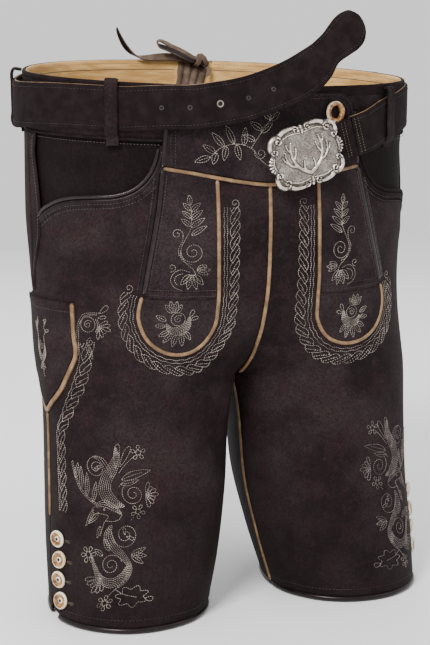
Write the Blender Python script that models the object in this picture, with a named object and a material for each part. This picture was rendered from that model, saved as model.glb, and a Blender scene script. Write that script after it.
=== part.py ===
"""Leather breeches with a drop front, belt and hanging buckle.

The front faces -Y, the wearer's left side is +X and +Z is up.  The origin is the
middle of the waist opening.  Every piece is cut flat in pattern coordinates, girth
from the centre front and drop from the waist, and then laid round the body form.
"""
import math

import bpy
import bmesh
import numpy as np
from mathutils import Vector
from mathutils.geometry import delaunay_2d_cdt

# ---------------------------------------------------------------- dimensions, mm
HEM_DROP = 448.0          # waist edge to hem at the side
WALL = 1.8                # nubuck wall
SEAM_GAP = 0.2            # each panel stops this far short of a seam line
LAYER_GAP = 0.5           # air between one layer and the next
LINING_WALL = 1.0
WAISTBAND = 45.0          # height of the waistband
PIPING_WIDTH = 3.2
PIPING_WALL = 1.0
SIDE_SEAM = 5.0           # side seam lies behind the widest point
VENT_TOP = 366.0          # drop where the side vent starts
VENT_HALF = 1.0           # half width of the open vent
VENT_CORNER = 16.0        # radius of the vent's lower corners
PANEL_END = 4.0           # leg panels stop this far above the hem, at its binding
NOTCH_WIDTH = 27.0        # gap of the laced back, at the waist edge
NOTCH_DROP = 66.0
BACK_SHIFT = 27.0         # back seam leans to the wearer's left at the waist
BELT_WIDTH = 36.0
BELT_WALL = 2.8
LOOP_WIDTH = 10.5
HORN_SMALL = 15.0         # hem buttons
HORN_LARGE = 18.0         # flap buttons
BUCKLE_WIDTH = 71.0
BUCKLE_HEIGHT = 56.0
PLATE_BACK = 1.4          # back face behind the plate's middle plane
BUCKLE_TILT = 16.0        # degrees, wearer's left side up
BUCKLE_TURN = 4.0         # degrees about the upright
BUCKLE_CENTRE = (27.8, -113.4, -66.2)
BAR_INSET = 1.5           # bar inside the plate's outer end
BAR_STAND = 6.8           # bar behind the plate's middle plane
BAR_RADIUS = 1.6
LUG_LEAN = 8.5            # lugs lean back under the plate's corners

# Body form.  drop; half girth width; spread (0 one tube, 1 two legs that touch);
# depth in front and behind; shift of the row's middle; all mm but the spread
FORM = [
    # drop, width, spread, front, back, middle
    (0, 169.0, 0.000, 105.0, 134.0, 2.0),
    (45, 169.0, 0.000, 105.0, 131.5, 2.5),
    (110, 169.0, 0.018, 110.0, 132.7, 4.2),
    (160, 166.0, 0.085, 107.5, 133.5, 4.0),
    (200, 164.3, 0.282, 92.5, 132.0, -3.0),
    (228, 164.6, 0.579, 76.0, 130.5, -11.5),
    (244, 164.2, 0.859, 67.5, 129.0, -17.5),
    (256, 163.4, 1.000, 63.5, 127.0, -22.0),
    (290, 162.6, 1.080, 62.0, 122.3, -25.3),
    (345, 162.8, 1.142, 67.5, 118.4, -26.8),
    (402, 165.0, 1.304, 71.0, 106.6, -32.8),
    (448, 165.8, 1.506, 67.0, 91.5, -38.9),
]
CROTCH = 256.0
WAIST_TILT = 0.119        # the waist rises towards the back
TILT_FADE = 220.0
LEG_PART = 0.2            # the two halves stand this far off the middle plane

ROWS = [0, 15, 30, 45, 60, 75, 90, 105, 120, 135, 150, 165, 180, 194, 206, 217, 228,
        234, 239, 244, 247.5, 250.5, 253.5, 256, 259, 263, 270, 280, 293, 308, 324,
        340, 356, 372, 388, 404, 420, 434, 448]
COLUMN = 18.5             # lattice spacing along the girth
BACK_ROWS = [62, 84, 106, 128, 150, 172, 192, 210, 226, 238, 246, 251.5, 256, 261, 270,
             284, 304, 326, 348, 370, 392, 414, 432]

NUBUCK = ((0.030, 0.022, 0.021), 0.85, 0.0)
BLACK = ((0.012, 0.012, 0.013), 0.45, 0.0)
TAN = ((0.36, 0.22, 0.11), 0.70, 0.0)
BEIGE = ((0.62, 0.43, 0.22), 0.80, 0.0)
TAUPE = ((0.16, 0.11, 0.08), 0.80, 0.0)
SUEDE = ((0.028, 0.020, 0.018), 0.90, 0.0)
HORN = ((0.62, 0.48, 0.30), 0.35, 0.0)
SILVER = ((0.50, 0.49, 0.46), 0.40, 1.0)

for old in list(bpy.data.objects):
    bpy.data.objects.remove(old, do_unlink=True)


# ---------------------------------------------------------------- body form
def smoothTable(xs, ys, q):
    """Monotone cubic through the table's points."""
    h = np.diff(xs)
    dl = np.diff(ys) / h
    m = np.zeros(len(xs))
    w1, w2 = 2 * h[1:] + h[:-1], h[1:] + 2 * h[:-1]
    same = dl[:-1] * dl[1:] > 0
    a, b = np.where(same, dl[:-1], 1.0), np.where(same, dl[1:], 1.0)
    m[1:-1] = np.where(same, (w1 + w2) / (w1 / a + w2 / b), 0.0)
    m[0], m[-1] = dl[0], dl[-1]
    qc = np.clip(q, xs[0], xs[-1])
    i = np.clip(np.searchsorted(xs, qc, side="right") - 1, 0, len(xs) - 2)
    t = (qc - xs[i]) / h[i]
    v = ((2 * t**3 - 3 * t**2 + 1) * ys[i] + (t**3 - 2 * t**2 + t) * h[i] * m[i]
         + (3 * t**2 - 2 * t**3) * ys[i + 1] + (t**3 - t**2) * h[i] * m[i + 1])
    return v + np.minimum(q - xs[0], 0) * m[0] + np.maximum(q - xs[-1], 0) * m[-1]


TABLE = np.array(FORM, float)
STEPS = 121


def formRow(d):
    """Row values at drop d: loop half width, spread, depths, middle, end angle."""
    w, c, bf, bb, cy = [smoothTable(TABLE[:, 0], TABLE[:, k], d) for k in range(1, 6)]
    upper = np.degrees(np.arccos(-np.clip(TABLE[:8, 2], 0, 1)))
    end = np.radians(np.where(d < CROTCH, smoothTable(TABLE[:8, 0], upper, d), 180.0))
    c = np.where(d < CROTCH, -np.cos(end), np.maximum(c, 1.0))
    return w / (1 + c), c, bf, bb, cy, end


def rowTable(d):
    a, c, bf, bb, cy, end = [v[:, None] for v in formRow(np.atleast_1d(d).astype(float))]
    t = np.linspace(-1, 1, 2 * STEPS - 1)[None, :] * end
    x = a * (c + np.cos(t))
    y = cy + np.where(t < 0, bf, bb) * np.sin(t)
    run = np.cumsum(np.hypot(np.diff(x, axis=1), np.diff(y, axis=1)), axis=1)
    return t, np.concatenate([np.zeros((len(t), 1)), run], 1)


def sideAt(d):
    """Girth from the centre front to the side seam at drop d."""
    return float(rowTable(d)[1][0, STEPS - 1]) + SIDE_SEAM


def backAt(d):
    """Girth from the centre front to the centre back at drop d."""
    return float(rowTable(d)[1][0, -1])


def rowPoint(side, share, d, part):
    """Point at a share (-1 front end, 0 side, 1 back end) of the row at drop d."""
    a, c, bf, bb, cy, end = formRow(d)
    t = share * end
    x = a * (c + np.cos(t)) + part
    y = cy + np.where(t < 0, bf, bb) * np.sin(t)
    z = -d + np.clip(1 - d / TILT_FADE, 0, 1) * WAIST_TILT * y
    return np.stack([side * x, y, z], -1)


def place(side, s, d, lift=0.0):
    """Point of the form at girth s and drop d of one side (-1 right, +1 left), raised
    by lift along the outward normal, and that normal.  Above the crotch a girth below
    0 or past the back seam goes on round the other side."""
    s, d = np.broadcast_arrays(np.atleast_1d(np.asarray(s, float)), np.asarray(d, float))
    t, run = rowTable(d)
    whole = run[:, -1]
    low = d < CROTCH
    s = np.where((d > 135) & (s > whole - SEAM_GAP), whole - SEAM_GAP, s)
    over = low & ((s < 0) | (s > whole))
    q = np.where(low, np.where(s < 0, -s, np.where(s > whole, 2 * whole - s, s)),
                 np.mod(s, whole))
    share = np.array([np.interp(v, r, k) for v, r, k in zip(q, run, t / t[:, -1:])])
    part = np.where(low, LEG_PART * np.clip(np.minimum(q, whole - q) / 0.2, 0, 1), LEG_PART)
    sign = side * np.where(over, -1.0, 1.0)
    p = rowPoint(sign, share, d, part)
    e = 0.004
    along = (rowPoint(sign, np.minimum(share + e, 1), d, part)
             - rowPoint(sign, np.maximum(share - e, -1), d, part))
    down = rowPoint(sign, share, d + 0.6, part) - rowPoint(sign, share, d - 0.6, part)
    n = np.cross(down, along) * sign[:, None]
    n[:, 0] = np.where(low & ((q < 0.01) | (q > whole - 0.01)), 0.0, n[:, 0])
    n /= np.maximum(np.linalg.norm(n, axis=1, keepdims=True), 1e-9)
    return p + n * np.reshape(lift, (-1, 1) if np.ndim(lift) else (1, 1)), n


# ---------------------------------------------------------------- mesh helpers
def makeMaterial(name, look):
    mat = bpy.data.materials.new(name)
    mat.use_nodes = True
    shader = mat.node_tree.nodes["Principled BSDF"]
    shader.inputs["Base Color"].default_value = (*look[0], 1.0)
    shader.inputs["Roughness"].default_value = look[1]
    shader.inputs["Metallic"].default_value = look[2]
    mat.diffuse_color = (*look[0], 1.0)
    return mat


def makeObject(name, points, faces, look, parent=None, origin=(0, 0, 0)):
    """Mesh object from points in mm, its faces turned outward."""
    centre = np.array(origin, float)
    mesh = bpy.data.meshes.new(name)
    mesh.from_pydata([tuple(v) for v in (np.asarray(points) - centre) * 0.001], [], faces)
    bm = bmesh.new()
    bm.from_mesh(mesh)
    bmesh.ops.recalc_face_normals(bm, faces=bm.faces)
    if bm.calc_volume(signed=True) < 0:
        bmesh.ops.reverse_faces(bm, faces=bm.faces)
    bmesh.ops.triangulate(bm, faces=bm.faces)
    bm.to_mesh(mesh)
    bm.free()
    mesh.shade_smooth()
    mesh.set_sharp_from_angle(angle=math.radians(40))
    mesh.materials.append(makeMaterial(name + "_look", look))
    obj = bpy.data.objects.new(name, mesh)
    bpy.context.scene.collection.objects.link(obj)
    obj.location = centre * 0.001
    if parent is not None:
        obj.parent = parent
    return obj


def inside(px, py, poly):
    x0, y0 = poly[:, 0], poly[:, 1]
    x1, y1 = np.roll(x0, -1), np.roll(y0, -1)
    hit = ((y0 > py) != (y1 > py))
    dy = np.where(y1 == y0, 1e-9, y1 - y0)
    return bool((hit & (px < (x1 - x0) * (py - y0) / dy + x0)).sum() % 2)


def edgeDistance(px, py, poly):
    a, b = poly, np.roll(poly, -1, axis=0)
    ab = b - a
    t = np.clip((([px, py] - a) * ab).sum(1) / np.maximum((ab**2).sum(1), 1e-9), 0, 1)
    return float(np.hypot(*(a + ab * t[:, None] - [px, py]).T).min())


ROW_ORDER = {row: k for k, row in enumerate(ROWS)}


def densify(outline, step=12.0):
    """Shorter edges, except where an edge runs from one lattice row to the next."""
    out = []
    for (s0, d0), (s1, d1) in zip(outline, outline[1:] + outline[:1]):
        n = max(1, math.ceil(math.hypot(s1 - s0, d1 - d0) / step))
        if abs(ROW_ORDER.get(d0, -9) - ROW_ORDER.get(d1, -99)) == 1:
            n = 1
        out += [(s0 + (s1 - s0) * k / n, d0 + (d1 - d0) * k / n) for k in range(n)]
    return out


def cutPiece(name, side, outline, lift, wall, look, column=COLUMN, rows=None, step=12.0,
             origin=None, anchor=None):
    """Closed leather piece: a flat outline (girth, drop) wrapped round the form.
    origin is the girth that the outline's own girths start from, and anchor the line
    of the form that the lattice follows."""
    edge = densify(outline, step)
    if anchor is not None:
        edge = [(s - anchor(d), d) for s, d in edge]
        origin = anchor
    poly = np.array(edge)
    verts = [Vector(p) for p in edge]
    lo, hi = poly.min(0), poly.max(0)
    for k, row in enumerate(rows or ROWS):
        if not lo[1] < row < hi[1]:
            continue
        shift = 0.5 * column * (k % 2)
        for s in np.arange(lo[0] - column + shift, hi[0] + column, column):
            if inside(s, row, poly) and edgeDistance(s, row, poly) > 4.2:
                verts.append(Vector((float(s), float(row))))
    edges = [(i, (i + 1) % len(edge)) for i in range(len(edge))]
    pts, _, faces, _, _, _ = delaunay_2d_cdt(verts, edges, [], 1, 1e-5)
    flat = np.array([tuple(p) for p in pts])
    if origin is not None:
        flat[:, 0] += [origin(d) for d in flat[:, 1]]
    outer, _ = place(side, flat[:, 0], flat[:, 1], lift)
    inner, _ = place(side, flat[:, 0], flat[:, 1], lift - wall)
    n = len(flat)
    sides = {}
    for f in faces:
        for a, b in zip(f, list(f[1:]) + [f[0]]):
            sides[(a, b)] = sides.get((a, b), 0) + 1
    rim = [(a, b) for a, b in sides if (b, a) not in sides]
    walls = [(b, a, a + n, b + n) for a, b in rim]
    back = [tuple(i + n for i in reversed(f)) for f in faces]
    return makeObject(name, np.concatenate([outer, inner]),
                      [tuple(f) for f in faces] + back + walls, look)


def stripPoints(path, step=8.0):
    fine = []
    for (s0, d0), (s1, d1) in zip(path, path[1:]):
        n = max(1, math.ceil(math.hypot(s1 - s0, d1 - d0) / step))
        fine += [(s0 + (s1 - s0) * k / n, d0 + (d1 - d0) * k / n) for k in range(n)]
    return fine + [path[-1]]


def sweepSection(name, rings, look, parent=None, origin=(0, 0, 0)):
    """Closed bar through equal rings of corner points."""
    rings = np.asarray(rings, float)
    count, corners = rings.shape[:2]
    faces = [(k * corners + i, k * corners + (i + 1) % corners,
              (k + 1) * corners + (i + 1) % corners, (k + 1) * corners + i)
             for k in range(count - 1) for i in range(corners)]
    faces += [tuple(range(corners))[::-1],
              tuple((count - 1) * corners + i for i in range(corners))]
    return makeObject(name, rings.reshape(-1, 3), faces, look, parent, origin)


def makeStrip(name, side, path, look, width=PIPING_WIDTH, wall=PIPING_WALL, lift=LAYER_GAP,
              origin=None):
    """Flat strip along a pattern line; lift may be one value or one per point."""
    flat = np.array(stripPoints(path))
    if origin is not None:
        flat[:, 0] += [origin(d) for d in flat[:, 1]]
    base, normal = place(side, flat[:, 0], flat[:, 1])
    if callable(lift):
        lift = np.array([lift(d) for d in flat[:, 1]])
    lift = np.broadcast_to(lift, (len(flat),))[:, None]
    tangent = np.gradient(base, axis=0)
    across = np.cross(tangent, normal)
    across /= np.linalg.norm(across, axis=1, keepdims=True)
    low, high = base + normal * lift, base + normal * (lift + wall)
    half = across * width / 2
    return sweepSection(name, np.stack([low - half, high - half, high + half, low + half], 1), look)


def beside(path, shift):
    """Pattern line moved sideways by shift."""
    p = np.array(path, float)
    t = np.gradient(p, axis=0)
    n = np.stack([-t[:, 1], t[:, 0]], 1)
    n /= np.linalg.norm(n, axis=1, keepdims=True)
    return [tuple(v) for v in p + n * shift]


def rowsBetween(fn, d0, d1, inset=0.0):
    """Pattern points (fn(d)+inset, d) from d0 to d1 at the lattice rows."""
    lo, hi = min(d0, d1), max(d0, d1)
    ds = [lo] + [r for r in ROWS if lo + 1.0 < r < hi - 1.0] + [hi]
    if d0 > d1:
        ds.reverse()
    return [(fn(d) + inset, d) for d in ds]


# ---------------------------------------------------------------- pattern lines
# girth, drop
FLAP_EDGE = [(82.0, 20), (82.5, 45), (86, 68), (91, 95), (97, 122), (104, 150), (110, 175.5)]
U_LINE = [(44, 70), (44, 100), (44, 130), (44, 160), (44, 188), (45.5, 203), (50, 213.5),
          (57, 222), (66, 227.3), (77, 229.5), (88, 228), (98, 223), (106, 215), (111, 205),
          (113.5, 194), (113, 184), (111, 176)]
MOUTH = [(89.5, 45.4), (90.5, 53), (93, 63), (97, 72), (103, 80), (112, 87), (124, 91.5),
         (140, 93.5), (156, 95), (172, 98), (186, 103.5), (198, 110.5)]
BAND_LOW = [(0, 80.5), (20, 78.5), (44, 74.5), (66, 70.5), (86, 67.5)]
WELT = 176.0
# The flap's sides hang a little to the wearer's left: shift at its inner edge, share of the
# girth beyond it, and the drops between which this comes in.
FLAP_INNER = 44.0
FLAP_SWAY = {-1: (-1.5, -0.086), 1: (2.0, 0.11)}
SWAY_FROM, SWAY_TO = 68.0, 168.0
# girth from the side seam, drop
KNIFE_FRONT = [(-55, 184), (-53.5, 196), (-52, 210), (-50, 223), (-45, 231), (-36, 242),
               (-25, 254), (-13, 265.5), (0, 273.5)]
KNIFE_REAR = [(0, 273.5), (9, 267), (17, 259), (24, 249), (28, 236), (30, 222), (30, 184)]


def bandLow(s):
    return float(np.interp(abs(s), [p[0] for p in BAND_LOW], [p[1] for p in BAND_LOW]))


def swayed(side, outline):
    """Points of a flap side or its edges, moved to where that side of the flap hangs."""
    shift, share = FLAP_SWAY[side]
    along = [min(max((d - SWAY_FROM) / (SWAY_TO - SWAY_FROM), 0.0), 1.0) for _, d in outline]
    return [(s + (shift + share * (s - FLAP_INNER)) * f, d)
            for (s, d), f in zip(outline, along)]


def backShift(side, d):
    return -side * BACK_SHIFT * max(0.0, 1 - d / 130.0) ** 1.5


def notchHalf(d):
    return 0.5 * NOTCH_WIDTH * max(0.0, 1 - d / NOTCH_DROP)


def backEdge(side):
    """Girth of the back seam or notch edge at drop d."""
    return lambda d: backAt(d) + backShift(side, d) - notchHalf(d)


# ---------------------------------------------------------------- body panels
def ventCorner(hem, turn):
    """Rounded corner at the vent's foot; turn is -1 in front of it and 1 behind it."""
    angles = np.radians([0, 25, 50, 70, 90])
    return [(sideAt(hem) + turn * (VENT_HALF + VENT_CORNER * (1 - math.cos(a))),
             hem - VENT_CORNER * (1 - math.sin(a))) for a in angles]


def makeFront(side, tag):
    hem = HEM_DROP - PANEL_END
    corner = ventCorner(hem, -1.0)
    outline = [(SEAM_GAP, bandLow(0) - 8)]
    outline += [(43.8, bandLow(44) - 8)]
    outline += swayed(side, [(43.8, 68)] + beside(U_LINE[1:-1], SEAM_GAP)
                      + beside(FLAP_EDGE, -SEAM_GAP)[:1:-1])
    outline += [(82.9, 45.4)] + MOUTH
    outline += [(sideAt(117) - SEAM_GAP, 117.0)]
    outline += rowsBetween(sideAt, 120, VENT_TOP, -SEAM_GAP)
    outline += rowsBetween(sideAt, VENT_TOP + 8, hem - VENT_CORNER, -VENT_HALF)[:-1] + corner
    outline += [(SEAM_GAP, hem)]
    outline += rowsBetween(lambda d: SEAM_GAP, hem - 6, bandLow(0), 0.0)
    cutPiece("front_" + tag, side, outline, 0.0, WALL, NUBUCK, anchor=sideAt)


def makeBack(side, tag):
    hem = HEM_DROP - PANEL_END
    outline = rowsBetween(backEdge(side), WAISTBAND + 0.4, hem, -SEAM_GAP)
    outline += ventCorner(hem, 1.0)[::-1]
    outline += rowsBetween(sideAt, hem - VENT_CORNER - 6, VENT_TOP + 8, VENT_HALF)
    outline += rowsBetween(sideAt, VENT_TOP, WAISTBAND + 0.4, SEAM_GAP)
    cutPiece("back_" + tag, side, outline, 0.0, WALL, NUBUCK, column=22.0, rows=BACK_ROWS,
             anchor=sideAt)


def makeWaist(side, tag):
    edge = backEdge(side)
    lower = WAISTBAND - 0.2
    cutPiece("waistband_" + tag, side,
             [(SEAM_GAP, 0)] + rowsBetween(edge, 0, lower, -SEAM_GAP) + [(SEAM_GAP, lower)],
             0.0, WALL, NUBUCK, column=14.0, step=14.0)
    stop = lambda d: backAt(d) + backShift(side, d) - NOTCH_WIDTH / 2 - 9.0
    cutPiece("lining_" + tag, side,
             [(SEAM_GAP, 0.5), (stop(0), 0.5), (stop(40), 40), (SEAM_GAP, 40)],
             -WALL - 0.8, LINING_WALL, BEIGE, column=22.0, step=20.0)


def makeFacing(side, tag):
    lower = [(s, d + 12) for s, d in MOUTH[2:]]
    outline = [(80, 41.5), (sideAt(41) + 7, 41.5)] + rowsBetween(sideAt, 60, 124, 7.0)
    outline += lower[::-1] + [(84, 66), (81, 52)]
    cutPiece("pocket_facing_" + tag, side, outline, -WALL - 0.8, 1.2, NUBUCK)


def makeFlap():
    """Drop front: one band across the middle, a strip down each side, a U patch below."""
    top = [(82.5, 45), (82, 24), (78.5, 13), (71, 7), (60, 5), (30, 5), (0, 5)]
    half = [(0, 80.5)] + BAND_LOW[1:] + top[:-1]
    outline = half + [(0, 5)] + [(-s, d) for s, d in half[::-1]][:-1]
    cutPiece("flap_band", 1, outline, LAYER_GAP + WALL, WALL, NUBUCK)
    for side, tag in ((-1, "right"), (1, "left")):
        outer = beside(FLAP_EDGE, SEAM_GAP)
        strip = [(44.2, bandLow(44) - 8), (84.5, bandLow(84) - 8)] + outer[2:-1]
        strip += [(109.6, WELT - SEAM_GAP), (44.2, WELT - SEAM_GAP), (44.2, 168), (44.2, 68)]
        cutPiece("flap_strip_" + tag, side, swayed(side, strip), 0.0, WALL, NUBUCK)
        patch = beside(U_LINE, -SEAM_GAP)[4:]
        patch = [(44.2, WELT + SEAM_GAP)] + patch[:-1] + [(110.0, WELT + SEAM_GAP)]
        cutPiece("flap_patch_" + tag, side, swayed(side, patch), 0.0, WALL, NUBUCK)
        makeStrip("flap_patch_piping_" + tag, side,
                  swayed(side, [(44, bandLow(44) + 4.2), (44, 100)] + U_LINE[2:]), TAN)
        makeStrip("flap_edge_piping_" + tag, side,
                  swayed(side, [(86.6, 72)] + FLAP_EDGE[3:-1] + [(109.3, 172.5)]), BLACK)
    low = [(-s, d + 2.1) for s, d in BAND_LOW[:0:-1]] + [(0, 82.6)]
    low += [(s, d + 2.1) for s, d in BAND_LOW[1:]]
    makeStrip("flap_band_piping", 1, low, TAN, width=3.0, wall=1.5)


def makeKnifePocket():
    cutPiece("knife_pocket", -1, KNIFE_FRONT + KNIFE_REAR[1:], LAYER_GAP + 0.3 + WALL, WALL,
             NUBUCK, column=11.0, step=9.0, origin=sideAt)
    makeStrip("knife_pocket_piping", -1,
              beside(KNIFE_FRONT[:-1] + [(0, 274.7)] + KNIFE_REAR[1:-1], 2.1), TAN,
              width=2.8, wall=1.6, origin=sideAt)


def grooveLift(d):
    """Height that lets the front piping span the fold between the legs."""
    _, _, _, _, _, end = formRow(np.array([float(d)]))
    lean = max(0.0, float(end[0]) - math.pi / 2)
    return LAYER_GAP + 1.4 * math.tan(min(lean, 1.15))


def makeSeams():
    makeStrip("front_seam_piping", 1, [(0, 85.5), (0, 120), (0, 160), (0, 194), (0, 217),
                                      (0, 228), (0, 239), (0, 244)], TAN, width=2.6,
              lift=grooveLift)
    for side, tag in ((-1, "right"), (1, "left")):
        makeStrip("inseam_piping_" + tag, side, [(0, 274), (0, 324), (0, 372), (0, 441)], TAN)
        top = 280 if side < 0 else 124
        path = rowsBetween(sideAt, top, VENT_TOP)
        makeStrip("side_seam_piping_" + tag, side, path, TAN)
        makeStrip("pocket_piping_" + tag, side,
                  beside(MOUTH[1:], 1.2) + [(sideAt(116) - 3, 117.5)], BLACK)


def makeHems():
    """Rolled binding under each leg's front and back half."""
    lo, hi = HEM_DROP - 3.6, HEM_DROP + 0.6
    for side, tag in ((-1, "right"), (1, "left")):
        vent = sideAt(446)
        for part, outline in (
                ("front", [(0.4, lo), (vent - 17, lo), (vent - 17, hi), (0.4, hi)]),
                ("back", [(vent + 17, lo), (backAt(lo) - 0.4, lo), (backAt(hi) - 0.4, hi),
                          (vent + 17, hi)])):
            cutPiece("hem_%s_%s" % (part, tag), side, outline, 0.8, 3.4, BLACK,
                     column=40.0, rows=[0])


# ---------------------------------------------------------------- belt and loops
BELT_LIFT = 2.2           # middle of the strap above the waistband
# free end, its upper and lower edge: x, y, z, x, y, z
FREE_END = [
    (-46.6, -107.5, -9.2, -49.4, -108.5, -44.2),
    (-24.8, -109.5, -5.0, -24.0, -113.0, -39.8),
    (-4.0, -108.5, 1.6, -1.0, -115.5, -32.6),
    (13.6, -106.0, 8.7, 19.6, -116.5, -24.6),
    (27.2, -103.0, 15.6, 36.2, -116.5, -16.2),
    (37.0, -101.5, 21.2, 47.9, -116.0, -4.8),
    (44.2, -100.0, 26.5, 55.2, -115.0, 6.5),
    (49.2, -99.0, 31.2, 65.7, -113.5, 12.9),
    (53.4, -99.5, 36.8, 73.3, -112.5, 17.4),
    (57.7, -100.5, 42.3, 79.1, -111.5, 23.8),
    (62.9, -101.5, 46.3, 81.1, -110.0, 31.4),
    (69.5, -103.0, 48.2, 79.1, -108.0, 40.1),
    (73.5, -105.0, 46.6, 76.6, -106.5, 44.4),
]
# free end landing on the waistband: girth, drop of the strap's middle, its height
LANDING = [(66, 18.6, 9.0), (78, 19.0, 7.4), (92, 20.0, 4.8), (104, 21.0, 2.9)]
# buckle end leaving the waist: girth, drop of the strap's middle, height of its middle
DROOP = [(205, 22.0, 2.2), (185, 22.5, 2.2), (165, 24.0, 2.2), (148, 26.5, 2.3),
         (134, 29.2, 2.4), (125.5, 31.3, 2.5), (115, 35.0, 3.3), (103, 39.6, 5.9),
         (91, 44.2, 8.8)]


def beltStations(bar, up, out):
    """Upper edge, lower edge and outward direction along the whole strap."""
    upper = [np.array(r[:3]) for r in FREE_END[::-1]]
    lower = [np.array(r[3:]) for r in FREE_END[::-1]]
    whole = backAt(20)
    route = [(-1, s, d, h) for s, d, h in LANDING]
    lace = lambda s: BELT_LIFT + 1.2 * np.clip((s - whole + 75) / 25, 0, 1)
    route += [(-1, s, 22.0, BELT_LIFT) for s in (115.0, 125.5)]
    route += [(-1, s, 22.0, lace(s)) for s in np.linspace(138, whole, 28)]
    route += [(1, s, 22.0, lace(s)) for s in np.linspace(whole, 215, 20)[1:]]
    route += [(1, s, d, h) for s, d, h in DROOP]
    for side, s, d, h in route:
        half = BELT_WIDTH / 2
        lean = 0.0
        if side > 0 and s <= 205:
            i = [r[0] for r in DROOP].index(s)
            a, b = DROOP[max(i - 1, 0)], DROOP[min(i + 1, len(DROOP) - 1)]
            lean = math.atan2(b[1] - a[1], a[0] - b[0])
        ds, dd = half * math.sin(lean), half * math.cos(lean)
        upper.append(place(side, s - ds, d - dd, h)[0][0])
        lower.append(place(side, s + ds, d + dd, h)[0][0])
    away, face = foldFrame(bar, up, out)
    middle = bar + away * FOLD_REACH + face * (BAR_RADIUS + 0.4 + FOLD_WALL / 2)
    upper.append(middle + up * (FOLD_HALF + 0.6))
    lower.append(middle - up * (FOLD_HALF + 0.6))
    return np.array(upper), np.array(lower)


def makeBelt(bar, up, out):
    """One strap from the free tip, round the waist, to the buckle's fold."""
    upper, lower = beltStations(bar, up, out)
    middle = (upper + lower) / 2
    along = np.gradient(middle, axis=0)
    normal = np.cross(along, upper - lower)
    normal /= np.linalg.norm(normal, axis=1, keepdims=True)
    out = normal * BELT_WALL / 2
    sweepSection("belt_strap", np.stack([upper + out, lower + out, lower - out, upper - out], 1),
                 SUEDE)


def makeLoop(name, side, s, drop=0.0, rise=0.0):
    """Belt loop: down from the waist edge, over the strap and back to the waistband."""
    over = BELT_LIFT + BELT_WALL / 2 + 0.5 + 0.9 + rise
    profile = [(1.8, -2.0), (over - 0.8, -1.6), (over, 0.5), (over, 22), (over, 42 + drop),
               (over - 1.6, 44.4 + drop), (1.7, 46.5 + drop), (1.5, 52 + drop)]
    wall = 1.8
    rings = []
    for k, (lift, d) in enumerate(profile):
        a, b = profile[max(k - 1, 0)], profile[min(k + 1, len(profile) - 1)]
        t = np.array([b[0] - a[0], b[1] - a[1]])
        t = t / np.linalg.norm(t)
        n = np.array([t[1], -t[0]]) * wall / 2
        ring = []
        for off, sgn in ((-LOOP_WIDTH / 2, -1), (-LOOP_WIDTH / 2, 1),
                         (LOOP_WIDTH / 2, 1), (LOOP_WIDTH / 2, -1)):
            ring.append(place(side, s + off, d + sgn * n[1], lift + sgn * n[0])[0][0])
        rings.append(ring)
    sweepSection(name, rings, NUBUCK)


def makeLoops():
    whole = backAt(20)
    for side, tag in ((-1, "right"), (1, "left")):
        left = side > 0
        makeLoop("belt_loop_front_" + tag, side, 125.5, 10.5 if left else 0.0, 1.0 * left)
        makeLoop("belt_loop_side_" + tag, side, 252.0)
        makeLoop("belt_loop_back_" + tag, side, whole - 64.0, 0.0, 0.6)


# ---------------------------------------------------------------- buckle
def buckleFrame():
    """Axes of the hanging plate: across, up and out of its face."""
    tilt, turn = math.radians(BUCKLE_TILT), math.radians(BUCKLE_TURN)
    across = np.array([math.cos(tilt) * math.cos(turn), math.cos(tilt) * math.sin(turn),
                       math.sin(tilt)])
    out = np.array([math.sin(turn), -math.cos(turn), 0.0])
    up = np.cross(out, across)
    return across, up / np.linalg.norm(up), out


def makeBuckle():
    """Plate with a raised rounded rim and a low dome, hinged on its bar."""
    across, up, out = buckleFrame()
    centre = np.array(BUCKLE_CENTRE)
    bar = centre + across * (BUCKLE_WIDTH / 2 - BAR_INSET) - out * BAR_STAND
    pivot = bpy.data.objects.new("buckle_pivot", None)
    bpy.context.scene.collection.objects.link(pivot)
    pivot.location = bar * 0.001
    # share of the half size, height over the middle plane; back face first
    rings = [(0.50, -PLATE_BACK), (0.93, -PLATE_BACK), (1.0, -0.2), (0.98, 1.8), (0.91, 2.6),
             (0.80, 1.0), (0.52, 1.7), (0.20, 2.2)]
    count = 32
    points = []
    for share, height in rings:
        for k in range(count):
            t = 2 * math.pi * k / count
            ct, st = math.cos(t), math.sin(t)
            px = math.copysign(abs(ct) ** 0.62, ct) * share * BUCKLE_WIDTH / 2
            py = math.copysign(abs(st) ** 0.62, st) * share * BUCKLE_HEIGHT / 2
            points.append(centre + across * px + up * py + out * height)
    n = len(rings)
    faces = [(k * count + i, k * count + (i + 1) % count,
              (k + 1) * count + (i + 1) % count, (k + 1) * count + i)
             for k in range(n - 1) for i in range(count)]
    faces += [tuple(range(count))[::-1], tuple((n - 1) * count + i for i in range(count))]
    plate = makeObject("buckle_plate", points, faces, SILVER, None, bar)
    plate.parent = pivot
    plate.location = (0, 0, 0)
    # bar and its two lugs in one bent rod
    half = BELT_WIDTH / 2 + 2.0
    lug = out * (BAR_STAND - PLATE_BACK - LAYER_GAP) - across * LUG_LEAN
    route = [bar - up * half + lug, bar - up * (half - 0.6), bar, bar + up * (half - 0.6),
             bar + up * half + lug]
    sections = []
    for k, point in enumerate(route):
        t = np.array(route[min(k + 1, 4)]) - np.array(route[max(k - 1, 0)])
        t /= np.linalg.norm(t)
        u = across
        v = np.cross(t, u)
        v /= np.linalg.norm(v)
        sections.append([point + BAR_RADIUS * (math.cos(a) * u + math.sin(a) * v)
                         for a in np.linspace(0, 2 * math.pi, 12, endpoint=False)])
    rod = sweepSection("buckle_bar", sections, SILVER, None, bar)
    rod.parent = pivot
    rod.location = (0, 0, 0)
    return bar, up, out


FOLD_WALL = 2.2
FOLD_REACH = 16.0         # bar to the butt with the strap
FOLD_HALF = 15.8


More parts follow.
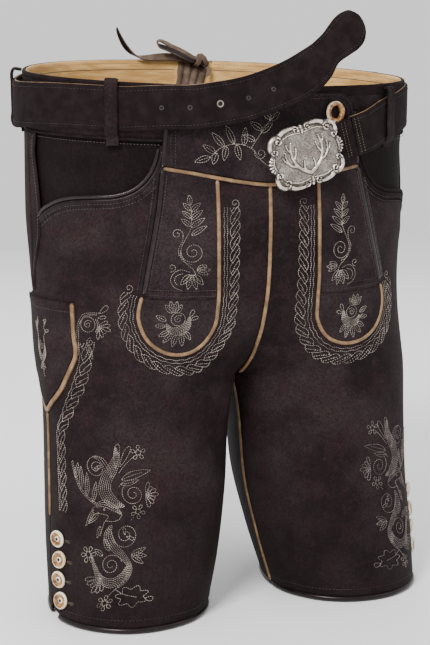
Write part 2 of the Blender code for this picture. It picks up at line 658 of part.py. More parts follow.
def foldFrame(bar, up, out):
    """Directions along the strap's end away from the bar, and out of its face."""
    droop = place(1, DROOP[-1][0], DROOP[-1][1], DROOP[-1][2])[0][0]
    away = droop - bar
    away -= up * away.dot(up)
    away /= np.linalg.norm(away)
    face = np.cross(away, up)
    return away, face if face.dot(out) > 0 else -face


def makeFold(bar, up, out):
    """Strap end folded round the bar and laid behind the strap."""
    away, face = foldFrame(bar, up, out)
    ring = BAR_RADIUS + 0.4 + FOLD_WALL / 2
    behind = ring - FOLD_WALL / 2 - BELT_WALL / 2 - 0.35 - FOLD_WALL / 2
    path = [bar + away * (FOLD_REACH - 0.3) + face * ring, bar + away * 7 + face * ring]
    path += [bar + ring * (away * math.cos(a) + face * math.sin(a))
             for a in np.radians(np.linspace(90, 270, 9))]
    path += [bar + away * 5 - face * ring * 0.95, bar + away * 12 + face * (behind - 1.0),
             bar + away * 17 + face * (behind - 0.5), bar + away * 24 + face * (behind - 0.5)]
    rings = []
    for k, point in enumerate(path):
        t = path[min(k + 1, len(path) - 1)] - path[max(k - 1, 0)]
        n = np.cross(t / np.linalg.norm(t), up)
        n /= np.linalg.norm(n)
        rings.append([point + up * FOLD_HALF + n * FOLD_WALL / 2,
                      point - up * FOLD_HALF + n * FOLD_WALL / 2,
                      point - up * FOLD_HALF - n * FOLD_WALL / 2,
                      point + up * FOLD_HALF - n * FOLD_WALL / 2])
    sweepSection("belt_fold", rings, SUEDE)


# ---------------------------------------------------------------- horn buttons
def makeButton(name, side, s, d, size, lift):
    """Turned horn ring: raised rim, hollow middle, two thread holes are left to the finish."""
    base, normal = place(side, s, d, lift)
    base, normal = base[0], normal[0]
    u = np.cross(normal, np.array([0, 0, 1.0]))
    u /= np.linalg.norm(u)
    v = np.cross(normal, u)
    r = size / 2
    rings = [(0.70 * r, 0.0), (0.97 * r, 0.7), (r, 1.6), (0.86 * r, 2.9), (0.62 * r, 2.6),
             (0.40 * r, 1.8)]
    count = 12
    points = [base + normal * h + q * (u * math.cos(a) + v * math.sin(a))
              for q, h in rings for a in np.linspace(0, 2 * math.pi, count, endpoint=False)]
    n = len(rings)
    faces = [(k * count + i, k * count + (i + 1) % count,
              (k + 1) * count + (i + 1) % count, (k + 1) * count + i)
             for k in range(n - 1) for i in range(count)]
    faces += [tuple(range(count))[::-1], tuple((n - 1) * count + i for i in range(count))]
    makeObject(name, points, faces, HORN)


def makeButtons():
    drops = {-1: (380, 396.5, 413, 430), 1: (372, 389, 405.5, 422)}
    for side, tag in ((-1, "right"), (1, "left")):
        for k, d in enumerate(drops[side]):
            makeButton("hem_button_%s_%d" % (tag, k + 1), side, sideAt(d) - 5 - 18, d,
                       HORN_SMALL, 0.4)
        makeButton("flap_button_" + tag, side, 61.5, 18.8, HORN_LARGE, LAYER_GAP + WALL + 0.4)


# ---------------------------------------------------------------- laced back
LACE_RADIUS = 1.7
# knot, bow and end above the notch: x, y, z
BOW_LOOP = [(24.5, 124.8, 19.6), (21, 124.8, 20.9), (15, 124.5, 23.8), (8, 124, 27.2),
            (-1, 123.5, 31), (-8.5, 123, 34), (-12.5, 122.5, 33), (-10, 121.5, 28.5),
            (-2, 121, 24.5), (8, 121, 20.5), (16, 121.5, 17.5), (21, 122.6, 15.2),
            (24.5, 122.8, 14.4)]
LACE_END = [(25.1, 127.8, 14.6), (21, 128, 14.8), (16, 128.3, 15.6), (7, 128.3, 16.6),
            (-3, 128.1, 17.8), (-13, 127.6, 19), (-21, 127, 20.8), (-29, 126.4, 23.5),
            (-36, 125.8, 27), (-43, 125.2, 32), (-48.5, 124.6, 38), (-52.5, 124.4, 44.5)]
KNOT = (31.0, 125.3, 17.4)
KNOT_HALF = (5.5, 4.9, 6.2)
LACE_DROPS = (9, 24, 39)   # where each crossing starts
LACE_REACH = 7.0          # crossing ends beyond the notch's edges
LACE_FALL = 6.0
GUSSET_HALF = 20.0        # half width at the waist edge
GUSSET_TAPER = 0.14


def makeTube(name, route, radius, look):
    """Lace run: one poly spline through a smooth curve, round section, filled ends."""
    keys = np.array(route, float)
    run = np.concatenate([[0], np.cumsum(np.linalg.norm(np.diff(keys, axis=0), axis=1))])
    count = max(8, int(run[-1] / 6))
    at = np.linspace(0, run[-1], count)
    points = np.stack([smoothTable(run, keys[:, k], at) for k in range(3)], 1)
    curve = bpy.data.curves.new(name, "CURVE")
    curve.dimensions = "3D"
    spline = curve.splines.new("POLY")
    spline.points.add(count - 1)
    for p, co in zip(spline.points, points):
        p.co = (*(co * 0.001), 1.0)
    curve.bevel_depth = radius * 0.001
    curve.bevel_resolution = 2
    curve.use_fill_caps = True
    curve.materials.append(makeMaterial(name + "_look", look))
    obj = bpy.data.objects.new(name, curve)
    bpy.context.scene.collection.objects.link(obj)


def makeLacing():
    drops = (3, 20, 40, 60, 84)
    outline = [(backAt(d) + backShift(1, d) - GUSSET_HALF + d * GUSSET_TAPER, d) for d in drops]
    outline += [(backAt(d) + backShift(1, d) + GUSSET_HALF - d * GUSSET_TAPER, d)
                for d in drops[::-1]]
    cutPiece("back_gusset", 1, outline, -WALL - 0.4, 1.2, TAUPE)
    for k, d in enumerate(LACE_DROPS):
        reach = (notchHalf(d) + LACE_REACH) * (1 if k % 2 == 0 else -1)
        low = d + LACE_FALL
        makeStrip("lace_cross_%d" % (k + 1), 1,
                  [(backAt(d) + backShift(1, d) - reach, d),
                   (backAt(low) + backShift(1, low) + reach, low)],
                  TAUPE, width=5.0, wall=1.0, lift=0.4)
    rings = []
    for x, share in ((-1.0, 0.86), (-0.6, 1.0), (0.6, 1.0), (1.0, 0.8)):
        rings.append([np.array(KNOT) + np.array(KNOT_HALF) * [x, share * y, share * z]
                      for y, z in ((1, 0.45), (0.6, 1), (-0.6, 1), (-1, 0.45), (-1, -0.45),
                                   (-0.6, -1), (0.6, -1), (1, -0.45))])
    sweepSection("lace_knot", rings, TAUPE)
    makeTube("lace_bow", BOW_LOOP, LACE_RADIUS, TAUPE)
    makeTube("lace_end", LACE_END, LACE_RADIUS, TAUPE)


def main():
    for side, tag in ((-1, "right"), (1, "left")):
        makeFront(side, tag)
        makeBack(side, tag)
        makeWaist(side, tag)
        makeFacing(side, tag)
    makeFlap()
    makeKnifePocket()
    makeSeams()
    makeHems()
    bar, up, out = makeBuckle()
    makeBelt(bar, up, out)
    makeLoops()
    makeFold(bar, up, out)
    makeButtons()
    makeLacing()


main()
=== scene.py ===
import math

import bpy
import numpy as np
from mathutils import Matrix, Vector


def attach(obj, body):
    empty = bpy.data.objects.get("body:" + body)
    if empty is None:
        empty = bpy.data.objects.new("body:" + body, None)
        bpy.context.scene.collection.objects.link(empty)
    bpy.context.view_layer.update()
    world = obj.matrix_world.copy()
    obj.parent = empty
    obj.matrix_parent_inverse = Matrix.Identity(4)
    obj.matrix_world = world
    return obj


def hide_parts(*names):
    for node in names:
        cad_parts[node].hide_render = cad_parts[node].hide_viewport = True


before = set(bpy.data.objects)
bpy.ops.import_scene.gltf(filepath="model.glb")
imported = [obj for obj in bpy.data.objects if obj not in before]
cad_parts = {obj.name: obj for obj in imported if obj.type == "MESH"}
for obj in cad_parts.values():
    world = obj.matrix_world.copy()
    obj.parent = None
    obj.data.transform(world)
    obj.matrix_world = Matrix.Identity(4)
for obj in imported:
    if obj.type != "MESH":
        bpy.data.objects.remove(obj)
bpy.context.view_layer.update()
print("frame loaded")

mm = 0.001

# camera first: a standing look at the front, a little from the wearer's right
view = {"distance": 1210.0, "height": -31.5, "turn": 21.97, "pitch": 8.83,
        "focal": 1390.0, "centre": (221.0, 326.7), "picture": (430, 645)}
camera = bpy.data.objects.new("camera", bpy.data.cameras.new("camera"))
bpy.context.scene.collection.objects.link(camera)
turn, pitch = math.radians(view["turn"]), math.radians(view["pitch"])
camera.location = (-view["distance"] * math.sin(turn) * mm,
                   -view["distance"] * math.cos(turn) * mm, view["height"] * mm)
camera.rotation_euler = (math.pi / 2 - pitch, 0, -turn)
camera.data.sensor_width = 36.0
camera.data.lens = 36.0 * view["focal"] / view["picture"][1]
camera.data.shift_x = (view["picture"][0] / 2 - view["centre"][0]) / view["picture"][1]
camera.data.shift_y = (view["centre"][1] - view["picture"][1] / 2) / view["picture"][1]
camera.data.clip_start, camera.data.clip_end = 0.05, 20.0
bpy.context.scene.camera = camera


# the body form, in millimetres: girth s from the centre front, drop d from the waist
form = {
    # drop, half width, spread, front depth, back depth, middle
    "rows": np.array([
        (0, 169.0, 0.000, 105.0, 134.0, 2.0), (45, 169.0, 0.000, 105.0, 131.5, 2.5),
        (110, 169.0, 0.018, 110.0, 132.7, 4.2), (160, 166.0, 0.085, 107.5, 133.5, 4.0),
        (200, 164.3, 0.282, 92.5, 132.0, -3.0), (228, 164.6, 0.579, 76.0, 130.5, -11.5),
        (244, 164.2, 0.859, 67.5, 129.0, -17.5), (256, 163.4, 1.000, 63.5, 127.0, -22.0),
        (290, 162.6, 1.080, 62.0, 122.3, -25.3), (345, 162.8, 1.142, 67.5, 118.4, -26.8),
        (402, 165.0, 1.304, 71.0, 106.6, -32.8), (448, 165.8, 1.506, 67.0, 91.5, -38.9)]),
    "upperRows": 8, "crotch": 256.0, "tilt": 0.119, "tiltFade": 220.0, "part": 0.2,
    "sideSeam": 5.0, "hem": 448.0, "vent": 366.0,
}


# cubic over a step h from a to b with the slopes there, at a share t of the step
def hermite(t, h, a, b, slopeA, slopeB):
    return ((2 * t**3 - 3 * t**2 + 1) * a + (t**3 - 2 * t**2 + t) * h * slopeA
            + (3 * t**2 - 2 * t**3) * b + (t**3 - t**2) * h * slopeB)


# monotone cubic through a table: Hermite pieces with harmonic-mean slopes, straight beyond
def smoothTable(xs, ys, q):
    h = np.diff(xs)
    slope = np.diff(ys) / h
    m = np.zeros(len(xs))
    w1, w2 = 2 * h[1:] + h[:-1], h[1:] + 2 * h[:-1]
    same = slope[:-1] * slope[1:] > 0
    a, b = np.where(same, slope[:-1], 1.0), np.where(same, slope[1:], 1.0)
    m[1:-1] = np.where(same, (w1 + w2) / (w1 / a + w2 / b), 0.0)
    m[0], m[-1] = slope[0], slope[-1]
    qc = np.clip(q, xs[0], xs[-1])
    i = np.clip(np.searchsorted(xs, qc, side="right") - 1, 0, len(xs) - 2)
    v = hermite((qc - xs[i]) / h[i], h[i], ys[i], ys[i + 1], m[i], m[i + 1])
    return v + np.minimum(q - xs[0], 0) * m[0] + np.maximum(q - xs[-1], 0) * m[-1]


# loop half width, spread, depths, middle and end angle of the row at drop d
def formRow(d):
    rows, upper = form["rows"], form["rows"][:form["upperRows"]]
    w, c, front, back, middle = [smoothTable(rows[:, 0], rows[:, k], d) for k in range(1, 6)]
    angle = np.degrees(np.arccos(-np.clip(upper[:, 2], 0, 1)))
    end = np.radians(np.where(d < form["crotch"], smoothTable(upper[:, 0], angle, d), 180.0))
    c = np.where(d < form["crotch"], -np.cos(end), np.maximum(c, 1.0))
    return w / (1 + c), c, front, back, middle, end


# a row is x = a (c + cos t), y = middle + depth sin t, with t a share of the end angle
def rowCurve(share, row):
    a, c, front, back, middle, end = row
    t = share * end
    return a * (c + np.cos(t)), middle + np.where(t < 0, front, back) * np.sin(t)


# point of a row, tilted upwards at the back
def rowPoint(sign, share, d, part):
    x, y = rowCurve(share, formRow(d))
    z = -d + np.clip(1 - d / form["tiltFade"], 0, 1) * form["tilt"] * y
    return np.stack([sign * (x + part), y, z], -1)


# lookup from share of a row's girth to share of its angle, a row for every step of drop
table = {"from": -15.0, "to": 463.0, "step": 1.5, "girths": 401, "half": 240}
tableDrops = np.arange(table["from"], table["to"], table["step"])
tableGirths = np.linspace(0, 1, table["girths"])


def buildTable():
    share = np.linspace(-1, 1, 2 * table["half"] + 1)
    x, y = rowCurve(share, [v[:, None] for v in formRow(tableDrops)])
    run = np.cumsum(np.hypot(np.diff(x, axis=1), np.diff(y, axis=1)), axis=1)
    run = np.concatenate([np.zeros((len(run), 1)), run], 1)
    shares = np.stack([np.interp(tableGirths, r / r[-1], share) for r in run])
    return shares, run[:, -1], run[:, table["half"]]


shareTable, wholeTable, frontTable = buildTable()


def backAt(d):
    return np.interp(d, tableDrops, wholeTable)


def sideAt(d):
    return np.interp(d, tableDrops, frontTable) + form["sideSeam"]


# bilinear lookup in the share table
def shareAt(u, d):
    i = np.clip((d - table["from"]) / table["step"], 0, len(tableDrops) - 1.001)
    j = np.clip(u, 0, 1) * (len(tableGirths) - 1.0001)
    i0, j0 = i.astype(int), j.astype(int)
    fi, fj = i - i0, j - j0
    low = shareTable[i0, j0] * (1 - fj) + shareTable[i0, j0 + 1] * fj
    high = shareTable[i0 + 1, j0] * (1 - fj) + shareTable[i0 + 1, j0 + 1] * fj
    return low * (1 - fi) + high * fi


# soft folds of the leather: side (-1 right, 1 left, 0 both), girth, drop, direction in
# degrees from level, half length, width and height; negative heights are troughs
folds = [
    # pulls running down and outwards from the crotch
    (0, 34, 268, 62, 30, 7, 1.1), (0, 52, 276, 50, 34, 8, -0.9), (0, 70, 290, 40, 34, 9, 0.9),
    (-1, 92, 268, 20, 36, 9, -0.8), (1, 88, 262, 24, 34, 8, 1.0),
    # slack below the hip pockets
    (-1, 150, 122, 16, 40, 8, -0.8), (-1, 165, 138, 22, 36, 7, 0.9), (1, 150, 124, 20, 34, 7, 0.9),
    (-1, 128, 158, 40, 26, 8, 0.7), (1, 142, 152, 34, 30, 8, -0.8),
    # long soft ones down the legs
    (-1, 60, 372, 86, 62, 13, 1.3), (-1, 96, 392, 94, 56, 14, -1.2),
    (-1, 176, 330, 84, 60, 14, -1.0), (1, 58, 360, 96, 70, 14, 1.2),
    (1, 100, 380, 88, 60, 15, -1.2), (1, 36, 400, 84, 50, 10, -1.0),
    (-1, 24, 330, 80, 48, 9, -1.0), (-1, 128, 410, 88, 40, 11, 0.9),
    # creases above the crotch, across the front
    (-1, 22, 206, -34, 24, 7, 0.8), (1, 24, 214, -30, 24, 7, -0.8), (0, 16, 236, -48, 20, 5, 0.7),
    # behind
    (0, 300, 190, 30, 60, 12, -1.2), (0, 320, 240, 20, 50, 10, 1.2),
    (0, 330, 330, 84, 70, 15, -1.4), (0, 290, 380, 92, 60, 15, 1.2),
]


# sum of bell-shaped ridges, each A exp(-(across/width)^2 - (along/length)^4)
def foldHeight(side, s, d, whole):
    total = np.zeros(np.broadcast(s, d).shape)
    for which, girth, drop, angle, length, width, height in folds:
        ds = s - girth
        legs = d >= form["crotch"]
        ds = np.where(legs & (np.abs(ds) > whole / 2), ds - np.sign(ds) * whole, ds)
        co, si = math.cos(math.radians(angle)), math.sin(math.radians(angle))
        along, across = ds * co + (d - drop) * si, -ds * si + (d - drop) * co
        on = 1.0 if which == 0 else (np.asarray(side) == which)
        total = total + on * height * np.exp(-(across / width) ** 2 - (along / length) ** 4)
    return total


# vectors brought to length one
def unit(v):
    return v / np.maximum(np.linalg.norm(v, axis=-1, keepdims=True), 1e-9)


# where the back seam is snapped to the middle plane, how near counts as on it, the drop over
# which the legs part, and the share of angle and the drop over which a normal is measured
probe = {"seamFrom": 135.0, "snap": 0.2, "onPlane": 0.01, "partFade": 4.0, "share": 0.004,
         "drop": 0.6}


# point and outward normal of the form at girth s and drop d, raised by lift
def place(side, s, d, lift=0.0, folded=True):
    s, d, lift = np.broadcast_arrays(np.asarray(s, float), np.asarray(d, float),
                                     np.asarray(lift, float))
    whole = backAt(d)
    upper, snap = d < form["crotch"], probe["snap"]
    seam = (d > probe["seamFrom"]) & upper & (s > whole - snap)
    s = np.where(seam, whole - snap, s)
    over = upper & ((s < 0) | (s > whole))
    q = np.where(upper, np.where(s < 0, -s, np.where(s > whole, 2 * whole - s, s)),
                 np.mod(s, whole))
    share = shareAt(q / whole, d)
    near = np.clip(np.minimum(q, whole - q) / snap, 0, 1)
    part = form["part"] * np.maximum(near, np.clip((d - form["crotch"]) / probe["partFade"],
                                                   0, 1))
    sign = side * np.where(over, -1.0, 1.0)
    base = rowPoint(sign, share, d, part)
    base[..., 0] = np.where(seam, 0.0, base[..., 0])
    e, h, onPlane = probe["share"], probe["drop"], probe["onPlane"]
    along = (rowPoint(sign, np.minimum(share + e, 1), d, part)
             - rowPoint(sign, np.maximum(share - e, -1), d, part))
    down = rowPoint(sign, share, d + h, part) - rowPoint(sign, share, d - h, part)
    normal = np.cross(down, along) * sign[..., None]
    normal[..., 0] = np.where(seam | upper & ((q < onPlane) | (q > whole - onPlane)),
                              0.0, normal[..., 0])
    normal = unit(normal)
    rise = lift + (foldHeight(sign, q, d, whole) if folded else 0.0)
    return base + normal * rise[..., None], normal


# mesh helpers
# distance run along a line of points, from its first one
def runAlong(points):
    return np.concatenate([[0], np.cumsum(np.linalg.norm(np.diff(points, axis=0), axis=1))])


# unit vectors square to a flat line
def squareTo(line):
    t = np.gradient(line, axis=0)
    return unit(np.stack([-t[:, 1], t[:, 0]], 1))


# a finished mesh in its body, with the CAD node it replaces hidden; faces are index arrays, one
# array for each corner count
def linkMesh(name, points, faces, material, uv=None, body="garment", slot=None, node=None):
    mesh = bpy.data.meshes.new(name)
    points = np.asarray(points, float).reshape(-1, 3) * mm
    loops = np.concatenate([f.reshape(-1) for f in faces]).astype(np.int32)
    sizes = np.concatenate([np.full(len(f), f.shape[1]) for f in faces]).astype(np.int32)
    mesh.vertices.add(len(points))
    mesh.vertices.foreach_set("co", points.astype(np.float32).ravel())
    mesh.loops.add(len(loops))
    mesh.loops.foreach_set("vertex_index", loops)
    mesh.polygons.add(len(sizes))
    starts = np.concatenate([[0], np.cumsum(sizes)[:-1]]).astype(np.int32)
    mesh.polygons.foreach_set("loop_start", starts)
    if uv is not None:
        layer = mesh.uv_layers.new(name="cut")
        layer.data.foreach_set("uv", (np.asarray(uv).reshape(-1, 2)[loops] * mm).astype(
            np.float32).ravel())
    mesh.update(calc_edges=True)
    mesh.validate()
    mesh.shade_smooth()
    mesh.materials.append(material)
    piece = bpy.data.objects.new(name, mesh)
    bpy.context.scene.collection.objects.link(piece)
    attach(piece, body)
    slot = slot or slotOf.get(material.name)
    if node:
        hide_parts(node)
    return piece


# four-sided faces of a grid of points, joined round its columns if asked
def gridFaces(rows, cols, wrapCols=False):
    i, j = np.meshgrid(np.arange(rows - 1), np.arange(cols if wrapCols else cols - 1),
                       indexing="ij")
    k = (j + 1) % cols
    return np.stack([i * cols + j, (i + 1) * cols + j, (i + 1) * cols + k, i * cols + k],
                    -1).reshape(-1, 4)


# a grid of points as an open surface, turned to agree with the given outward normals
def gridPiece(name, points, normals, material, uv=None, wall=0.0, **rest):
    rows, cols = points.shape[:2]
    faces = gridFaces(rows, cols)
    flat, out = points.reshape(-1, 3), normals.reshape(-1, 3)
    a, b, c = flat[faces[:, 0]], flat[faces[:, 1]], flat[faces[:, 2]]
    if (np.cross(b - a, c - a) * out[faces[:, 0]]).sum() < 0:
        faces = faces[:, ::-1]
    piece = linkMesh(name, flat, [faces], material, uv, **rest)
    if wall:
        shell = piece.modifiers.new("wall", "SOLIDIFY")
        shell.thickness = wall * mm
        shell.offset = -1.0
        shell.use_even_offset = False
    return piece


# signed volume of a closed mesh, by fans of each face from its first corner
def signedVolume(points, faces):
    total = 0.0
    for f in faces:
        for k in range(1, f.shape[1] - 1):
            a, b, c = points[f[:, 0]], points[f[:, k]], points[f[:, k + 1]]
            total += float((np.cross(a, b) * c).sum())
    return total


# rings of corner points joined into a closed bar; rings (n, m, 3)
def ringPiece(name, rings, material, closed=False, **rest):
    count, corners = rings.shape[:2]
    if closed:
        faces = gridFaces(count + 1, corners, wrapCols=True) % (count * corners)
        caps = []
    else:
        faces = gridFaces(count, corners, wrapCols=True)
        caps = [np.arange(corners)[None, ::-1], (count - 1) * corners + np.arange(corners)[None]]
    points = rings.reshape(-1, 3)
    allFaces = [faces] + caps
    if signedVolume(points, allFaces) > 0:
        allFaces = [f[:, ::-1] for f in allFaces]
    around = np.linspace(0, 10, corners)
    uv = pair(runAlong(rings.mean(1))[:, None], around[None, :])
    return linkMesh(name, points, allFaces, material, uv, **rest)


# cubic curve through points, resampled every step; tangents are chord-weighted means
def smoothPath(points, step):
    p = np.asarray(points, float)
    t = runAlong(p)
    q = np.linspace(0, t[-1], max(2, int(math.ceil(t[-1] / step)) + 1))
    h = np.diff(t)[:, None]
    slope = np.diff(p, axis=0) / h
    m = np.empty_like(p)
    m[1:-1] = (slope[:-1] * h[1:] + slope[1:] * h[:-1]) / (h[1:] + h[:-1])
    m[0], m[-1] = slope[0], slope[-1]
    i = np.clip(np.searchsorted(t, q, side="right") - 1, 0, len(h) - 1)
    return hermite(((q - t[i]) / h[i, 0])[:, None], h[i], p[i], p[i + 1], m[i], m[i + 1])


# corners of a section: "round" ellipse or "flat" rounded bar, u across and v up
def section(kind, width, height, corners=10):
    a = np.linspace(0, 2 * math.pi, corners, endpoint=False) + math.pi / corners
    power = {"round": 1.0, "flat": 0.35}[kind]
    u = np.sign(np.cos(a)) * np.abs(np.cos(a)) ** power * width / 2
    v = np.sign(np.sin(a)) * np.abs(np.sin(a)) ** power * height / 2
    return np.stack([u, v], -1)


# section carried along a line with its up directions; ends drawn in a little
def sweep(name, line, up, profile, material, taper=True, **rest):
    line, up = np.asarray(line, float), np.asarray(up, float)
    along = unit(np.gradient(line, axis=0))
    across = unit(np.cross(along, up))
    up = np.cross(across, along)
    size = np.ones((len(line), 1, 1))
    if taper:
        size[[0, -1]] = 0.55
    profile = np.broadcast_to(profile, (len(line),) + np.shape(profile)[-2:]) * size
    rings = line[:, None] + across[:, None] * profile[..., :1] + up[:, None] * profile[..., 1:]
    return ringPiece(name, rings, material, **rest)


# points of the cut on the cloth, first moved by origin(drop) and then bent with the flap
def onCloth(side, points, lift, origin=None, bend=None):
    s, d = points[..., 0], points[..., 1]
    s = s + (origin(d) if origin else 0.0)
    return place(side, bend(side, s, d) if bend else s, d, lift)


# strip of leather or piping along a pattern line; size is its width, height and the lift of
# its middle
def trim(name, side, path, size, material, kind="round", step=2.0, origin=None, bend=None,
         **rest):
    width, height, lift = size
    line, up = onCloth(side, smoothPath(path, step), lift, origin, bend)
    return sweep(name, line, up, section(kind, width, height), material, **rest)


# girths and drops as points of the cut
def pair(s, d):
    return np.stack(np.broadcast_arrays(s, d), -1).astype(float)


# a pattern line moved sideways
def beside(path, shift):
    p = np.asarray(path, float)
    return p + squareTo(p) * shift


# distance of grid points from the grid's own border
def borderDistance(grid):
    edge = np.concatenate([grid[0], grid[:, -1], grid[-1][::-1], grid[::-1, 0]])
    a, b = edge[:-1], edge[1:]
    keep = np.linalg.norm(b - a, axis=1) > 1e-6
    a, b = a[keep], b[keep]
    p = grid.reshape(-1, 1, 2)
    ab = b - a
    t = np.clip(((p - a) * ab).sum(-1) / (ab**2).sum(-1), 0, 1)
    gap = np.linalg.norm(p - a - t[..., None] * ab, axis=-1).min(1)
    return gap.reshape(grid.shape[:2])


# overlay: a raised leather piece whose border rolls down onto what carries it
def overlay(name, side, grid, top, foot, material, roll=1.6, origin=None, bend=None, **rest):
    f = np.clip(borderDistance(grid) / roll, 0, 1)
    lift = foot + (top - foot) * np.sqrt(1 - (1 - f) ** 2)
    points, normals = onCloth(side, grid, lift, origin, bend)
    return gridPiece(name, points, normals, material, grid, **rest)


# numbers from 0 to 1, crowded towards both ends
def crowded(n, power=0.6):
    t = np.linspace(-1, 1, n)
    return (np.sign(t) * (1 - (1 - np.abs(t)) ** (1 / power)) + 1) / 2


# materials
# an operator of Value, with its two sides swapped for the reflected form
def operation(kind, swapped=False):
    return lambda self, other: self.maths(kind, *(other, self) if swapped else (self, other))


# wraps a socket so that shader maths reads as plain expressions
class Value:
    def __init__(self, look, socket):
        self.look, self.socket = look, socket

    def maths(self, kind, *others):
        node = self.look.node("ShaderNodeMath", {"operation": kind}, dict(enumerate(others)))
        return Value(self.look, node.outputs[0])

    __add__ = __radd__ = operation("ADD")
    __mul__ = __rmul__ = operation("MULTIPLY")
    __sub__, __rsub__ = operation("SUBTRACT"), operation("SUBTRACT", True)

    def ramp(self, low, high):
        node = self.look.node("ShaderNodeMapRange", {"clamp": True, "interpolation_type":
                              "SMOOTHSTEP"}, {"Value": self, "From Min": low, "From Max": high})
        return Value(self.look, node.outputs[0])


# one material: node() makes any node from its type, settings and inputs
class Look:
    def __init__(self, name, colour, roughness, **constants):
        self.material = bpy.data.materials.new(name)
        self.material.use_nodes = True
        self.tree = self.material.node_tree
        self.shader = self.tree.nodes["Principled BSDF"]
        self.set("Base Color", colour)
        self.set("Roughness", roughness)
        self.material.diffuse_color = (*colour, 1.0)
        for key, value in constants.items():
            self.set(key, value)

    def set(self, key, value):
        self.give(self.shader.inputs[key], value)

    def give(self, socket, value):
        if isinstance(value, Value):
            value = value.socket
        if isinstance(value, bpy.types.NodeSocket):
            self.tree.links.new(value, socket)
        elif isinstance(value, (tuple, list)) and len(value) == 3 and socket.type == "RGBA":
            socket.default_value = (*value, 1.0)
        else:
            socket.default_value = value

    def node(self, kind, settings=None, inputs=None):
        node = self.tree.nodes.new(kind)
        for key, value in (settings or {}).items():
            setattr(node, key, value)
        for key, value in (inputs or {}).items():
            self.give(node.inputs[key], value)
        return node

    def coords(self):
        return self.node("ShaderNodeTexCoord").outputs["Object"]

    def noise(self, size, detail=2.0, rough=0.5, stretch=None):
        # noise with features about size millimetres across
        where = self.coords()
        if stretch:
            where = self.node("ShaderNodeMapping", {}, {"Vector": where,
                                                        "Scale": stretch}).outputs[0]
        node = self.node("ShaderNodeTexNoise", {}, {"Vector": where, "Scale": 1000.0 / size,
                                                    "Detail": detail, "Roughness": rough})
        return Value(self, node.outputs[0])

    def mix(self, amount, first, second):
        node = self.node("ShaderNodeMix", {"data_type": "RGBA"})
        self.give(node.inputs[0], amount)
        self.give(node.inputs[6], first)
        self.give(node.inputs[7], second)
        return node.outputs[2]

    def bump(self, height, depth, strength=1.0, under=None):
        # height 0..1 times depth in millimetres
        inputs = {"Height": height, "Distance": depth * mm, "Strength": strength}
        if under is not None:
            inputs["Normal"] = under
        return self.node("ShaderNodeBump", {}, inputs).outputs[0]

    def attribute(self, name):
        return Value(self, self.node("ShaderNodeAttribute", {"attribute_name": name}).outputs[2])


# nubuck: dark brown hide, clouded, with a fine nap and faint creases
def nubuckLook(name, dark, light, warm):
    look = Look(name, dark, 0.85, **{"Specular IOR Level": 0.12,
                                     "Specular Tint": (1.0, 0.74, 0.78)})
    clouds = look.noise(62, 4.0, 0.6).ramp(0.38, 0.62)
    smudge = look.noise(17, 4.0, 0.65).ramp(0.46, 0.66)
    rubbed = look.noise(6.5, 4.0, 0.7).ramp(0.50, 0.74)
    nap = look.noise(1.9, 3.0, 0.75)
    colour = look.mix(clouds * 0.8, dark, light)
    colour = look.mix(smudge * 0.7, colour, warm)
    colour = look.mix(rubbed * 0.5, colour, light)
    colour = look.mix(nap.ramp(0.34, 0.70) * 0.65, colour, tuple(c * 0.4 for c in dark))
    # it darkens towards the hem
    height = look.node("ShaderNodeSeparateXYZ", {}, {"Vector": look.coords()}).outputs[2]
    low = Value(look, height).ramp(-0.30, -0.44)
    colour = look.mix(low * 0.45, colour, tuple(c * 0.5 for c in dark))
    look.set("Base Color", colour)
    look.set("Roughness", nap * 0.2 + 0.7)
    pebble = look.bump(look.noise(3.4, 4.0, 0.62), 0.7, 0.6)
    look.set("Normal", look.bump(nap, 0.22, 0.5, pebble))
    return look.material


# smooth hide, suede or thread: two tones in soft patches over a fine grain
def plainLeather(name, dark, light, roughness, grain=1.2, depth=0.12, patchy=(1, 1, 1),
                 **constants):
    look = Look(name, dark, roughness, **constants)
    patch = look.noise(9, 3.0, 0.6, stretch=patchy).ramp(0.35, 0.7)
    fine = look.noise(grain, 3.0, 0.65)
    colour = look.mix(patch, dark, light)
    colour = look.mix(fine * 0.35, colour, tuple(c * 0.6 for c in dark))
    look.set("Base Color", colour)
    look.set("Roughness", fine * 0.18 + (roughness - 0.09))
    look.set("Normal", look.bump(fine, depth, 0.6))
    return look.material


